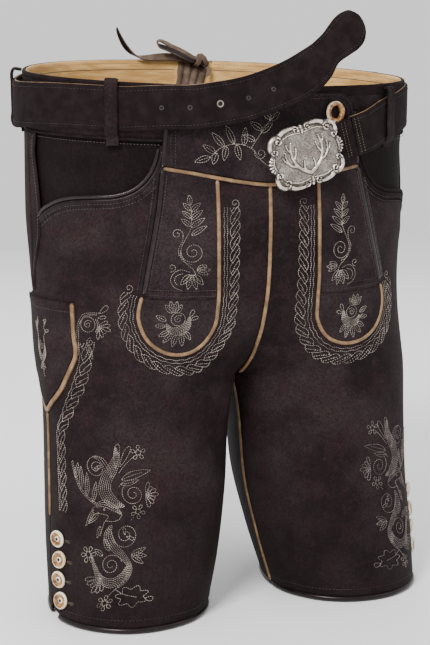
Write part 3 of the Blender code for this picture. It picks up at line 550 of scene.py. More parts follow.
tones = {
    "nubuck": ((0.0078, 0.0052, 0.0056), (0.0265, 0.0184, 0.0186), (0.0205, 0.0092, 0.0112)),
    # bag: the nubuck about three times darker, painted shade for the hollow behind the pocket mouth
    "bag": ((0.0022, 0.0014, 0.0016), (0.0090, 0.0060, 0.0060), (0.0060, 0.0032, 0.0036)),
    # flap: the nubuck made lighter, painted sheen on the flap band, strips, patches and welts
    "flap": ((0.0094, 0.0064, 0.0074), (0.0320, 0.0233, 0.0247), (0.0225, 0.0128, 0.0148)),
    "tan": ((0.120, 0.064, 0.025), (0.265, 0.154, 0.069)),
    "black": ((0.0056, 0.0035, 0.0039), (0.0125, 0.0080, 0.0085)),
    "lining": ((0.43, 0.225, 0.062), (0.70, 0.42, 0.145)),
    "belt": ((0.0060, 0.0040, 0.0043), (0.0125, 0.0083, 0.0087)),
    "taupe": ((0.075, 0.044, 0.027), (0.150, 0.096, 0.062)),
    "thread": ((0.125, 0.100, 0.085), (0.36, 0.31, 0.265)),
    # paintedShadeThread: darker thread, painted shade for the embroidery on the wearer's left leg
    "paintedShadeThread": ((0.072, 0.054, 0.053), (0.200, 0.162, 0.150)),
    "horn": ((0.62, 0.47, 0.27), (0.84, 0.75, 0.58)),
    "silver": ((0.54, 0.465, 0.405), (0.90, 0.81, 0.72)),
    "seamThread": ((0.030, 0.025, 0.023), (0.080, 0.067, 0.060)),
    "foldThread": ((0.085, 0.065, 0.038), (0.16, 0.125, 0.075)),
    "beltThread": ((0.014, 0.011, 0.011), (0.036, 0.030, 0.029)),
}
nubuck = nubuckLook("nubuck", *tones["nubuck"])
# darker copy of the nubuck: painted shade for the pocket bags
bagShadeHide = nubuckLook("bagShadeHide", *tones["bag"])
# lighter copy of the nubuck: painted sheen for the flap pieces
flapSheenHide = nubuckLook("flapSheenHide", *tones["flap"])
tan = plainLeather("tanPiping", *tones["tan"], 0.62)
black = plainLeather("blackPiping", *tones["black"], 0.29, 0.9, 0.08,
                     **{"Specular IOR Level": 0.24, "Specular Tint": (1.0, 0.84, 0.86)})
roll = plainLeather("rollHide", *tones["black"], 0.2, 1.2, 0.1,
                    **{"Specular IOR Level": 0.34, "Specular Tint": (1.0, 0.86, 0.88)})
strip = plainLeather("blackBinding", *tones["black"], 0.33, 1.4, 0.2,
                     **{"Specular IOR Level": 0.15, "Specular Tint": (1.0, 0.80, 0.83)})
liningHide = plainLeather("liningHide", *tones["lining"], 0.75, patchy=(0.3, 0.3, 2.2))
suede = plainLeather("beltSuede", *tones["belt"], 0.85, 0.8,
                     **{"Specular IOR Level": 0.1, "Specular Tint": (1.0, 0.74, 0.78)})
taupe = plainLeather("laceHide", *tones["taupe"], 0.8)
threadLook = plainLeather("thread", *tones["thread"], 0.7)
seamThread = plainLeather("seamThread", *tones["seamThread"], 0.6)
# darker thread: painted shade
paintedShadeThread = plainLeather("paintedShadeThread", *tones["paintedShadeThread"], 0.7)
foldThread = plainLeather("foldThread", *tones["foldThread"], 0.6)
beltThread = plainLeather("beltThread", *tones["beltThread"], 0.7)


# horn: cream rim, amber face, pale thread mound and a near-black middle that is painted shade of
# the button's hole, by share of the radius
def makeHorn():
    look = Look("horn", tones["horn"][0], 0.28)
    ring = look.attribute("ring")
    vein = look.noise(3.2, 3.0, 0.6)
    cloud = look.noise(8, 2.0, 0.5).ramp(0.35, 0.65)
    at = ring + (vein - 0.5) * 0.22
    colour = look.mix(cloud, tones["horn"][0], tones["horn"][1])
    amber = at.ramp(0.86, 0.74)
    colour = look.mix(amber, colour, look.mix(vein.ramp(0.38, 0.62), (0.11, 0.041, 0.011),
                                              (0.38, 0.185, 0.056)))
    colour = look.mix(ring.ramp(0.35, 0.30), colour, (0.80, 0.72, 0.60))
    # near-black middle: painted shade of the hole in the button's face
    colour = look.mix(ring.ramp(0.24, 0.18), colour, (0.012, 0.009, 0.008))
    look.set("Base Color", colour)
    look.set("Roughness", vein * 0.2 + 0.2)
    look.set("Normal", look.bump(vein, 0.12, 0.6))
    return look.material


# antique silver: bright on the ridges, dark where the tarnish attribute says
def makeSilver():
    look = Look("antiqueSilver", tones["silver"][0], 0.34, Metallic=1.0)
    tarnish = look.attribute("tarnish")
    grain = look.noise(0.75, 2.0, 0.6)
    speck = look.noise(0.85, 1.0, 0.5).ramp(0.42, 0.56)
    patch = look.noise(7, 2.0, 0.5).ramp(0.35, 0.7)
    colour = look.mix(patch, tones["silver"][0], tones["silver"][1])
    colour = look.mix((1 - speck) * tarnish.ramp(0.2, 0.5) * 0.6, colour, (0.05, 0.042, 0.036))
    colour = look.mix(tarnish * 0.96, colour, (0.018, 0.016, 0.015))
    look.set("Base Color", colour)
    look.set("Roughness", tarnish * 0.35 + grain * 0.2 + 0.26)
    look.set("Normal", look.bump(grain, 0.14, 0.8))
    return look.material


hornLook = makeHorn()
silver = makeSilver()
# slot that each hide, horn and metal belongs to where a piece names no other
slotOf = {look.name: slot for slot, looks in {
    "nubuck": (nubuck, bagShadeHide, flapSheenHide), "tan_piping": (tan,),
    "black_leather": (black, roll, strip), "lining": (liningHide,), "lace_leather": (taupe,),
    "horn": (hornLook,), "antique_metal": (silver,)}.items() for look in looks}
print("materials ready")

# stitches
# a chain stitch in millimetres, and its half length as share of the pitch
thread = {"pitch": 1.8, "length": 1.62, "width": 0.54, "height": 0.5, "reach": 0.35}
# each kind of row: size of its stitches, pitch and gap
sewing = {"chain": (1.0, 1.8, 0.0), "buttonhole": (0.8, 1.5, 0.0), "seam": (0.8, 2.7, 0.2),
          "fine": (0.7, 2.6, 0.2), "side": (0.7, 2.7, 0.2), "welt": (0.6, 2.4, 0.3),
          "band": (0.6, 2.6, 0.3), "hem": (0.75, 3.0, 0.2), "belt": (0.7, 2.9, 0.25),
          "fold": (0.62, 2.3, 0.3), "loop": (0.6, 2.6, 0.25), "lining": (0.7, 2.7, 0.35)}


# ends of evenly spaced stitches along a line of points
def spaced(path, pitch):
    run = runAlong(path)
    if run[-1] < pitch:
        return None
    count = max(1, int(round(run[-1] / pitch)))
    at = (np.arange(count) + 0.5) * run[-1] / count
    half = thread["reach"] * run[-1] / count
    return [np.stack([np.interp(at + way * half, run, path[:, k])
                      for k in range(path.shape[1])], 1) for way in (-1, 1)]


# bead-like links from low to high ends, standing on the cloth along up
def links(name, low, high, up, material, style, slot):
    size, pitch, gap = sewing[style]
    middle, along = (low + high) / 2, unit(high - low)
    sideways = np.cross(along, up)
    half = thread["length"] / 2 * pitch / thread["pitch"] * (1 - gap)
    w, h = thread["width"] / 2 * size, thread["height"] * size
    # a point at each end and two arches between them, the first one narrower
    corners = [(-half, 0, 0.1 * h)]
    for f, k in ((-0.34 * half, 0.86), (0.5 * half, 1.0)):
        corners += [(f, w * k, 0.15 * h), (f, 0.45 * w * k, h), (f, -0.45 * w * k, h),
                    (f, -w * k, 0.15 * h)]
    c = np.array(corners + [(half, 0, 0.1 * h)])
    points = (middle[:, None] + along[:, None] * c[:, :1] + sideways[:, None] * c[:, 1:2]
              + up[:, None] * c[:, 2:])
    tris = np.array([(0, 1, 2), (0, 2, 3), (0, 3, 4), (9, 6, 5), (9, 7, 6), (9, 8, 7)])
    quads = np.array([(1, 5, 6, 2), (2, 6, 7, 3), (3, 7, 8, 4)])
    if signedVolume(points[0], [tris, quads]) > 0:
        tris, quads = tris[:, ::-1], quads[:, ::-1]
    base = (np.arange(len(points)) * len(c))[:, None, None]
    return linkMesh(name, points, [(tris[None] + base).reshape(-1, 3),
                                   (quads[None] + base).reshape(-1, 4)], material, slot=slot)


# stitches drawn on the cut as lines of girth and drop
def stitched(name, side, paths, material, lift, style="chain", origin=None, bend=None):
    ends = [spaced(np.asarray(path, float), sewing[style][1]) for path in paths]
    low, high = [np.concatenate([e[k] for e in ends if e is not None]) for k in (0, 1)]
    low, up = onCloth(side, low, lift, origin, bend)
    high, _ = onCloth(side, high, lift, origin, bend)
    return links(name, low, high, up, material, style, None)


# stitches along lines in space with their up directions
def stitchLines(name, rows, ups, material, style, slot):
    low, high, up = [], [], []
    for line, out in zip(rows, ups):
        both = spaced(np.concatenate([line, out], 1), sewing[style][1])
        low.append(both[0][:, :3])
        high.append(both[1][:, :3])
        up.append(unit(both[0][:, 3:]))
    return links(name, np.concatenate(low), np.concatenate(high), np.concatenate(up),
                 material, style, slot)


# rings of a turned shape: profile of radius share and height along out
def ringStack(base, out, up, radius, profile, count=28):
    right = unit(np.cross(up, out))
    up = np.cross(out, right)
    a = np.linspace(0, 2 * math.pi, count, endpoint=False)
    spokes = np.cos(a)[:, None] * right + np.sin(a)[:, None] * up
    return np.stack([base + out * h + radius * q * spokes for q, h in profile])


# pattern lines shared by several pieces: girth, drop
lines = {
    "flapEdge": [(82.0, 20), (82.5, 45), (86, 68), (91, 95), (97, 122), (104, 150), (110, 175.5)],
    "uLine": [(44, 78), (44, 100), (44, 130), (44, 160), (44, 186), (45.5, 200.5), (50, 210),
              (57, 218.2), (66, 223.3), (77, 225.4), (88, 224), (98, 219.2), (106, 211.5),
              (111, 202.5), (113.5, 193), (113, 184), (111, 176)],
    "mouth": [(89.5, 45.4), (90.5, 53), (93, 63), (97, 72), (103, 80), (112, 87), (124, 91.5),
              (140, 93.5), (156, 95), (172, 98), (186, 103.5), (198, 110.5)],
    "bandLow": [(0, 80.5), (20, 78.5), (44, 74.5), (66, 70.5), (86, 67.5)],
    "welt": 176.0,
    "knifeFront": [(-55, 184), (-53.5, 196), (-52, 210), (-51.2, 223), (-50.4, 226.6),
                   (-48.4, 230.2), (-46, 233.4), (-39.5, 242),
                   (-29, 254), (-15, 266), (0, 273.5)],
    "knifeRear": [(0, 273.5), (9, 267), (17, 259), (24, 249), (28, 236), (30, 222),
                  (30, 184)],
}
# the flap's sides hang a little to the wearer's left: shift at its inner edge, share of the
# girth beyond it, coming in between two drops
sway = {-1: (-1.5, -0.086), 1: (2.0, 0.11), "inner": 44.0, "from": 68.0, "to": 168.0}
back = {"shift": 27.0, "shiftFade": 130.0, "notch": 27.0, "notchDrop": 66.0}


# drop of a pattern line at girths, and its girth at drops
def dropOf(line, s):
    p = np.array(line, float)
    return np.interp(s, p[:, 0], p[:, 1])


def girthOf(line, d):
    p = np.array(line, float)
    p = p if p[0, 1] < p[-1, 1] else p[::-1]
    return np.interp(d, p[:, 1], p[:, 0])


def swayed(side, s, d):
    f = np.clip((d - sway["from"]) / (sway["to"] - sway["from"]), 0, 1)
    return s + (sway[side][0] + sway[side][1] * (s - sway["inner"])) * f


def backShift(side, d):
    return -side * back["shift"] * np.clip(1 - d / back["shiftFade"], 0, 1) ** 1.5


def notchHalf(d):
    return 0.5 * back["notch"] * np.clip(1 - d / back["notchDrop"], 0, 1)


def backEdge(side, d):
    return backAt(d) + backShift(side, d) - notchHalf(d)


sides = ((-1, "right"), (1, "left"))


# lacing
# flat thongs: x, y, z of the middle, width, and turn of the broad face from the front
bowRoute = [(24.5, 124.8, 16.2, 4.0, 0), (20.5, 124.8, 18.6, 4.6, 10),
            (15.5, 124.8, 21.6, 4.8, 25), (9, 124.5, 24.8, 4.8, 36), (1, 124, 28.2, 4.6, 46),
            (-6.5, 123.5, 31.4, 4.8, 42), (-12.0, 123, 33.0, 4.8, 62),
            (-14.4, 122.3, 31.2, 4.8, 104), (-12.6, 121.6, 28.4, 5.4, 136),
            (-6.0, 121, 26.0, 5.8, 150), (2.5, 121, 23.0, 5.8, 158), (10.5, 121, 19.4, 5.4, 166),
            (18, 122.2, 16.2, 4.6, 175), (24.5, 123.0, 14.4, 4.0, 180)]
endRoute = [(25.1, 127.8, 14.6, 4.6, 0), (21, 127.9, 15.2, 5.4, 10), (16, 128.1, 15.9, 6.2, 15),
            (12, 128.3, 16.9, 6.8, 20), (4, 128.4, 18.2, 7.2, 20), (-6, 128.4, 18.6, 7.2, 20),
            (-14, 128.3, 18.0, 6.8, 20), (-22, 128, 17.4, 6.0, 30), (-30, 127.4, 17.8, 5.2, 60),
            (-36, 126.8, 20.0, 5.0, 95), (-41.5, 126, 24.0, 5.0, 125),
            (-46.0, 125.5, 29.2, 4.8, 145), (-49.5, 125, 35.0, 4.0, 150),
            (-52.0, 124.6, 40.2, 3.0, 155), (-53.2, 124.4, 44.4, 1.6, 160)]
strandRoute = [(27, 124.6, 13.6, 3.8, 0), (31.6, 124.6, 12.6, 3.8, 10),
               (35.0, 123.6, 10.4, 4.0, 20), (36.6, 122.4, 7.0, 3.6, 30),
               (36.0, 121.8, 3.6, 3.2, 30), (34.2, 121.6, 0.6, 2.6, 20)]
# walls of the bow's and the strand's thongs; the knot's middle, its half height and half
# width; and its rings: place along the knot and share of its size
lace = {"wall": 1.5, "strandWall": 1.4, "knot": np.array([29.4, 125.3, 15.6]),
        "core": (3.9, 4.8), "rings": ((-6.4, 0.45), (-5.2, 0.85), (-2.5, 1.0), (0, 0.9),
                                      (2.5, 1.0), (5.2, 0.85), (6.4, 0.45)),
        # turns over the knot: lean in degrees, shift and size; drops of the crossings
        "turns": ((28, -2.4, 1.0), (-34, 2.8, 1.08)), "crossings": (9, 24, 39),
        "crossReach": 7.0, "crossFall": 6.0, "crossSize": (5.0, 1.4, 0.8)}


# thong along stations of point, width and turn, with a darker grain side laid on one face
def thong(name, route, wall, grain=0):
    path = smoothPath(np.array(route, float) * [1, 1, 1, 1, 0.1], 1.4)
    line, width, twist = path[:, :3], path[:, 3], np.radians(path[:, 4:] * 10)
    along = unit(np.gradient(line, axis=0))
    up = np.tile([0.0, -1.0, 0.0], (len(line), 1))
    up = unit(up - along * (up * along).sum(1, keepdims=True))
    up = up * np.cos(twist) + np.cross(along, up) * np.sin(twist)
    flat = section("flat", 1.0, 1.0, 14)
    profile = pair(flat[:, 0] * width[:, None], flat[:, 1] * wall)
    piece = sweep(name, line, up, profile, taupe)
    if grain:
        thin = profile * [0.74, 0.3]
        sweep(name + "Grain", line + up * grain * wall * 0.42, up, thin, black)
    return piece, line


def makeLacing():
    for name, node, route, far in (("laceBow", "lace_bow", bowRoute, "object"),
                                   ("laceEnd", "lace_end", endRoute, "bare")):
        piece, line = thong(name, route, lace["wall"], -1)
        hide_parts(node)
    thong("laceStrand", strandRoute, lace["strandWall"])
    # the knot: a core with two flat turns crossing over it
    a = np.linspace(0, 2 * math.pi, 20, endpoint=False)
    deep, tall = lace["core"]
    rings = [lace["knot"] + np.stack([0 * a + x, deep * q * np.cos(a), tall * q * np.sin(a)], -1)
             for x, q in lace["rings"]]
    ringPiece("laceKnot", np.stack(rings), taupe, node="lace_knot")
    a = np.radians(np.linspace(0, 360, 33))[:-1]
    corners = section("flat", 4.4, 1.3, 12)
    for k, (lean, shift, size) in enumerate(lace["turns"]):
        lean = math.radians(lean)
        turns = np.stack([5.4 * size * np.sin(a) * math.sin(lean), -4.9 * size * np.cos(a),
                          5.8 * size * np.sin(a) * math.cos(lean)], -1)
        wide = np.array([math.cos(lean), 0, -math.sin(lean)])
        rings = (lace["knot"] + [shift, 0, 0] + turns[:, None] + wide * corners[:, :1]
                 + unit(turns)[:, None] * corners[:, 1:])
        ringPiece("laceTurn_%d" % (k + 1), rings, taupe, closed=True)
    for k, d in enumerate(lace["crossings"]):
        reach = (float(notchHalf(d)) + lace["crossReach"]) * (1 if k % 2 == 0 else -1)
        low = d + lace["crossFall"]
        path = [(float(backAt(d) + backShift(1, d)) - reach, d),
                (float(backAt(low) + backShift(1, low)) + reach, low)]
        trim("laceCross_%d" % (k + 1), 1, path, lace["crossSize"], taupe, kind="flat",
             node="lace_cross_%d" % (k + 1))
    # gusset: a gathered piece behind the notch, ripples sin(13 u) dying out downwards
    v = np.linspace(0, 1, 60)[:, None]
    u = np.linspace(-1, 1, 72)[None, :]
    d = 0.5 + 83.5 * v
    s = backAt(d) + backShift(1, d) + u * (17 - 0.11 * d)
    gather = np.sin(u * 13.0 + 1.4 * np.sin(v * 7.0)) * (1.2 - 0.7 * v) + 0.5 * np.sin(v * 40)
    gridPiece("gusset", *place(1, s, d, -2.6 + 0.8 * gather), taupe, pair(s, d), wall=1.1,
              node="back_gusset")


makeLacing()
print("lacing made")


# leg and hip panels
# foot of the panels, rounding of their corners at the vent, wall, grid, drop of the waist
# seam, girth that the front panel's upper edge is drawn over, gap beside the vent
panel = {"end": 444.0, "corner": 16.0, "rearCorner": 2.5, "wall": 1.7, "columns": 116,
         "rows": 186, "waistSeam": 45.4, "topGirth": 226.0, "ventGap": 1.0}


# side edge of a leg panel: straight to the vent, then a little open, rounded at the foot by
# corner - sqrt(corner^2 - foot^2)
def ventEdge(d, way):
    opening = np.where(d > form["vent"], panel["ventGap"], 0.0)
    corner = panel["corner"] if way < 0 else panel["rearCorner"]
    foot = np.clip(d - (panel["end"] - corner), 0, corner)
    rounding = corner - np.sqrt(np.maximum(corner ** 2 - foot ** 2, 0))
    return sideAt(d) + way * (opening + rounding)


def makePanels():
    u = crowded(panel["columns"], 0.8)[None, :]
    v = np.linspace(0, 1, panel["rows"])[:, None]
    mouth = [(0, 50), (89, 50)] + lines["mouth"][1:] + [(212, 114), (240, 117)]
    top = dropOf(mouth, u * panel["topGirth"])
    for side, tag in sides:
        d = top + (panel["end"] - top) * v
        s = ventEdge(d, -1) * u
        gridPiece("legFront_" + tag, *place(side, s, d), nubuck, pair(s, d),
                  wall=panel["wall"], node="front_" + tag)
        d = panel["waistSeam"] + (panel["end"] - panel["waistSeam"]) * v
        edge = ventEdge(d, 1)
        s = edge + (backEdge(side, d) - edge) * u
        gridPiece("legBack_" + tag, *place(side, s, d), nubuck, pair(s, d),
                  wall=panel["wall"], node="back_" + tag)


makePanels()
print("panels made")


# waistband, its lining and the pocket bags
waist = {
    # closed profiles of the band and its lining: drop and lift
    "outer": [(45, 0.3), (36, 0.5), (24, 0.5), (12, 0.5), (4, 0.5), (1.2, 0.3), (0, -0.6),
              (0.8, -1.5), (4, -1.8), (24, -1.8), (45, -1.8)],
    "inner": [(40, -2.2), (24, -2.1), (8, -2.1), (2, -1.9), (0.4, -2.4), (1.2, -3.1), (8, -3.3),
              (24, -3.3), (40, -3.4)],
    "columns": 150,
    # pocket bag: front edge, reach past the side seam, top, depth below the mouth, lift, wave
    "bagFront": 80.0, "bagPast": 7.0, "bagTop": 41.5, "bagBelow": 12.0, "bagLift": -2.4,
    "bagWave": 0.7, "bagWall": 1.2,
}


# closed profile of drop and lift carried round the waist from the front to an edge
def bandPiece(name, side, profile, edge, material, node):
    profile = np.array(profile)
    u = np.linspace(0, 1, waist["columns"])[:, None]
    d = np.broadcast_to(profile[:, 0], (len(u), len(profile)))
    rings, _ = place(side, edge(side, d) * u, d, profile[:, 1])
    ringPiece(name, rings, material, node=node)


def liningEdge(side, d):
    return backAt(d) + backShift(side, d) - back["notch"] / 2 - 0.5


def makeWaist():
    front, wave = waist["bagFront"], waist["bagWave"]
    mouth = [(80, 66)] + lines["mouth"][2:] + [(240, 118)]
    for side, tag in sides:
        bandPiece("waistband_skin_" + tag, side, waist["outer"], backEdge, nubuck,
                  "waistband_" + tag)
        bandPiece("waistband_lining_" + tag, side, waist["inner"], liningEdge, liningHide,
                  "lining_" + tag)
        u = np.linspace(0, 1, 90)[None, :]
        v = np.linspace(0, 1, 46)[:, None]
        s = front + (sideAt(front) + waist["bagPast"] - front) * u
        d = waist["bagTop"] + (dropOf(mouth, s) + waist["bagBelow"] - waist["bagTop"]) * v
        s = s + (sideAt(d) - sideAt(front)) * u
        # the bag billows by wave sin sin, flat at its top
        swell = np.sin((s - 95) / 15.0) * np.sin((d - 40) / 24.0) * np.clip((d - 46) / 12, 0, 1)
        # the bag takes the darker hide, painted shade of the pocket's hollow
        gridPiece("pocketBag_" + tag, *place(side, s, d, waist["bagLift"] - wave * swell),
                  bagShadeHide, pair(s, d), wall=waist["bagWall"], node="pocket_facing_" + tag)


makeWaist()
print("waist made")


# width, height and lift of each piping and trimming
piping = {"band": (3.0, 2.4, 1.4), "patch": (3.2, 2.6, 0.7), "flapEdge": (4.2, 3.0, 0.7),
          "welt": (6.6, 1.5, 1.0), "knifeHem": (6.2, 1.3, 2.5), "knife": (3.6, 2.4, 1.1),
          "ridge": (3.4, 1.8, 1.5), "leg": (2.8, 2.4, 0.4), "pocket": (3.2, 3.0, 0.2),
          "bandEdge": (4.0, 2.8, 1.0), "waistSeam": (2.6, 1.2, 0.35)}

# drop front
flap = {
    "bandLift": 2.3, "stripLift": 0.9, "patchLift": 0.9, "half": 82.5,
    # right half of the band's upper edge, its corner rounded: girth, drop
    "top": [(82.5, 45), (82.2, 30), (81.2, 20), (78.5, 13), (74.5, 8.8), (69, 6.2), (60, 5),
            (30, 5), (0, 5)],
    "welt": [(46.2, 174.4), (76.0, 174.8), (106.0, 173.6)],
    # how far the piping lies below the band's lower edge
    "pipingDrop": 1.6,
}


def makeFlap():
    u = crowded(120, 0.55)[None, :]
    v = crowded(50, 0.7)[:, None]
    g = (2 * u - 1) * 86.0
    beyond = np.abs(g) - flap["half"]
    top = np.where(beyond > 0, 45 + beyond * 6, dropOf(flap["top"][::-1], np.abs(g)))
    low = dropOf(lines["bandLow"], np.abs(g))
    d = top + (np.maximum(low, top + 0.5) - top) * v
    # the flap's pieces take the lighter hide, painted sheen
    overlay("flapBand", 1, pair(g, d), flap["bandLift"], 0.2, flapSheenHide, roll=1.8,
            node="flap_band")
    low = np.array(lines["bandLow"]) + [0, flap["pipingDrop"]]
    trim("flapBandPiping", 1, np.concatenate([low[:0:-1] * [-1, 1], low]), piping["band"], tan,
         node="flap_band_piping")
    for side, tag in sides:
        u = crowded(56, 0.6)[None, :]
        v = crowded(90, 0.8)[:, None]
        d0 = dropOf(lines["bandLow"], 44.0 + 40 * u) - 6
        d = d0 + (lines["welt"] - 0.4 - d0) * v
        inner, outer = 44.4, girthOf(lines["flapEdge"], d) - 0.6
        s = inner + (outer - inner) * u
        overlay("flapStrip_" + tag, side, pair(s, d), flap["stripLift"], -0.3, flapSheenHide,
                roll=1.2, bend=swayed, node="flap_strip_" + tag)
        line = np.array(lines["uLine"], float)
        bottom = int(np.argmax(line[:, 1]))
        d = lines["welt"] + 0.4 + (224.9 - lines["welt"] - 0.4) * np.sin(
            np.linspace(0, math.pi / 2, 46))[:, None]
        a, b = girthOf(line[3:bottom + 1], d), girthOf(line[bottom:], d)
        s = a + 0.3 + (b - a - 0.6) * u
        overlay("patch_" + tag, side, pair(s, d), flap["patchLift"], -0.3, flapSheenHide, roll=1.2,
                bend=swayed, node="flap_patch_" + tag)
        trim("welt_" + tag, side, flap["welt"], piping["welt"], flapSheenHide, bend=swayed)
        trim("patchPiping_" + tag, side, lines["uLine"], piping["patch"], tan, step=1.6,
             bend=swayed, node="flap_patch_piping_" + tag)
        edge = [(86.6, 70)] + lines["flapEdge"][3:-1] + [(109.3, 172.5)]
        trim("flapEdgePiping_" + tag, side, edge, piping["flapEdge"], roll, bend=swayed,
             node="flap_edge_piping_" + tag)


makeFlap()


# knife pocket on the wearer's right
def makeKnifePocket():
    top, end = lines["knifeRear"][-1][1], 273.2
    d = top + (end - top) * np.sin(np.linspace(0, math.pi / 2, 70))[:, None]
    a, b = girthOf(lines["knifeFront"], d), girthOf(lines["knifeRear"], d)
    s = a + (b - a) * crowded(60, 0.6)[None, :]
    overlay("knifePocket", -1, pair(s, d), 2.6, -0.2, nubuck, roll=1.6, origin=sideAt,
            node="knife_pocket")
    # hem across the top, turned over and sewn
    across = np.linspace(a[0, 0] + 2.0, b[0, 0], 30)
    trim("knifeHem", -1, pair(across, top + 3.2), piping["knifeHem"], nubuck, origin=sideAt)
    stitched("knifeHemRows", -1, [pair(across, top + 7.4)], seamThread, 2.7, "fine",
             origin=sideAt)
    edge = beside(lines["knifeFront"][:-1] + [(0, 274.7)] + lines["knifeRear"][1:-1], 1.4)
    trim("knifePocketPiping", -1, edge, piping["knife"], tan, kind="flat", origin=sideAt,
         node="knife_pocket_piping")


makeKnifePocket()


# binding: a strip beside a pattern line, its cross profile given as distance from the line
# and height, with small puckers near its far edge
def binding(name, side, path, profile, material, pucker, wave, between, step=0.9, bend=None,
            **rest):
    line = smoothPath(path, step)
    run = runAlong(line)
    reach = np.linspace(profile[0][0], profile[-1][0], 22)
    height = dropOf(profile, reach)
    grid = line[:, None] + squareTo(line)[:, None] * reach[None, :, None]
    beat = np.sin(2 * math.pi * run / wave + 1.3 * np.sin(run / 9.0) + np.sin(run / 3.7))
    band = np.clip(np.minimum(reach - between[0], between[1] - reach) / 0.9, 0, 1)
    ends = np.clip(np.minimum(run, run[-1] - run) / 2.0, 0, 1)[:, None]
    lift = (height[None] + pucker * beat[:, None] * band[None]) * ends - 0.3 * (1 - ends)
    points, normals = onCloth(side, grid, lift, bend=bend)
    return gridPiece(name, points, normals, material, grid, **rest)


# the back leg's edge laid forward over the rear end of the hip pocket: drop, reach in
# front of the side seam
sideStrip = {"edge": [(47, 22.0), (62, 19.5), (80, 23.0), (94, 26.0), (113, 28.2),
                      (128, 27.0), (144, 20.0), (160, 11.0), (180, 2.0)],
             "past": 6.0, "lift": 1.5, "ridge": 0.42}


def stripReach(d):
    p = np.array(sideStrip["edge"], float)
    return smoothTable(p[:, 0], p[:, 1], d)


def makeSideStrips():
    for side, tag in sides:
        d = np.linspace(46.5, 180, 80)[:, None]
        u = crowded(34, 0.7)[None, :]
        s = -stripReach(d) + (stripReach(d) + sideStrip["past"]) * u
        overlay("sideStrip_" + tag, side, pair(s, d), sideStrip["lift"], -0.2, nubuck,
                roll=1.3, origin=sideAt)
        drops = np.linspace(50, 176, 30)
        ridge = pair(-stripReach(drops) * sideStrip["ridge"] - 1.0, drops)
        trim("sideRidge_" + tag, side, ridge, piping["ridge"], nubuck, origin=sideAt)


makeSideStrips()


# seams and hems
# cross profiles of the bindings: distance from the line and height
edging = {
    "pocket": [(2.2, -0.3), (2.6, 0.5), (3.4, 1.25), (4.4, 1.5), (5.4, 1.25), (6.2, 0.55),
               (8.5, 0.5), (11.0, 0.45), (11.8, -0.2)],
    "flap": [(1.5, -0.3), (1.9, 0.5), (2.8, 1.1), (3.8, 1.2), (4.6, 0.9), (5.4, 0.35),
             (7.2, 0.3), (7.8, -0.2)],
    "waist": [(-1.2, -0.2), (-0.7, 0.6), (0.6, 1.1), (2.4, 1.0), (3.4, 0.6), (4.6, 1.0),
              (6.4, 1.0), (7.4, 0.6), (8.2, 0.0)],
    "flapDrops": [70, 85, 95, 110, 122, 135, 150, 165, 172],
}
seam = {
    # girth and drop of the front seam and of the inseam
    "front": [(0, 83.5), (0, 120), (0, 160), (0, 194), (0, 217), (0, 236), (0, 249)],
    "inside": [(0, 262), (0, 324), (0, 372), (0, 443)],
    # drop at which the piping of each side seam starts
    "sideFrom": {-1: 278.5, 1: 122},
    "bandEdge": [(83.5, 21.0), (84.0, 45.0), (86.4, 67.5)],
    # hem roll: drop, lift, points along it, front and back gap beside the vent
    "hem": 446.2, "hemLift": -0.7, "hemPoints": 110, "hemFront": 15.0, "hemBack": 2.5,
}


# the groove between the two front halves narrows downwards, so its piping stands further out
def grooveLift(d):
    end = formRow(d)[5]
    return 0.6 + 1.3 * np.tan(np.clip(end - math.pi / 2, 0, 1.15))


def makePiping():
    flat = smoothPath(seam["front"], 2.0)
    line, up = onCloth(1, flat, grooveLift(flat[:, 1]))
    sweep("frontSeamPiping", line, up, section("round", 3.2, 2.4), tan,
          node="front_seam_piping")
    for side, tag in sides:
        trim("inseamPiping_" + tag, side, seam["inside"], piping["leg"], tan,
             node="inseam_piping_" + tag)
        drops = np.linspace(seam["sideFrom"][side], form["vent"], 24)
        trim("sideSeamPiping_" + tag, side, pair(sideAt(drops), drops), piping["leg"], tan,
             node="side_seam_piping_" + tag)
        mouth = np.concatenate([beside(lines["mouth"][1:], 0.8), [(sideAt(116) - 25.5, 116.0)]])
        trim("pocketPiping_" + tag, side, mouth, piping["pocket"], roll if side < 0 else suede,
             slot="black_leather", node="pocket_piping_" + tag)
        trim("bandEdgePiping_" + tag, side, seam["bandEdge"], piping["bandEdge"], roll)
        level = pair(np.linspace(86, float(sideAt(46)) + 150, 40), panel["waistSeam"] + 0.9)
        trim("waistSeamPiping_" + tag, side, level, piping["waistSeam"], suede,
             slot="black_leather")


def makeBindings():
    for side, tag in sides:
        binding("pocketBinding_" + tag, side, lines["mouth"][1:] + [(205, 115.5)],
                edging["pocket"], strip if side < 0 else suede, 0.42, 4.1, (6.2, 11.4),
                slot="black_leather")
        drops = np.array(edging["flapDrops"][::-1])
        binding("flapBinding_" + tag, side, pair(girthOf(lines["flapEdge"], drops), drops),
                edging["flap"], strip, 0.15, 5.0, (4.6, 7.6), bend=swayed)
        end = float(backAt(1) + backShift(side, 1)) - 15
        binding("waistBinding_" + tag, side, pair(np.linspace(0.5, end, 60), 1.4),
                edging["waist"], suede, 0.1, 5.0, (0.5, 6.0), step=2.0, slot="black_leather")


def makeHems():
    low = form["hem"] - 2
    for side, tag in sides:
        for part, s0, s1 in (("front", 0.3, sideAt(low) - seam["hemFront"]),
                             ("back", sideAt(low) + seam["hemBack"], backAt(low) - 0.3)):
            s = np.linspace(s0, s1, seam["hemPoints"])
            line, up = place(side, s, seam["hem"], seam["hemLift"])
            sweep("hemRoll_%s_%s" % (part, tag), line, up, section("round", 4.6, 4.0, 12),
                  black, node="hem_%s_%s" % (part, tag))


makePiping()
makeBindings()
makeHems()
print("front and seams made")


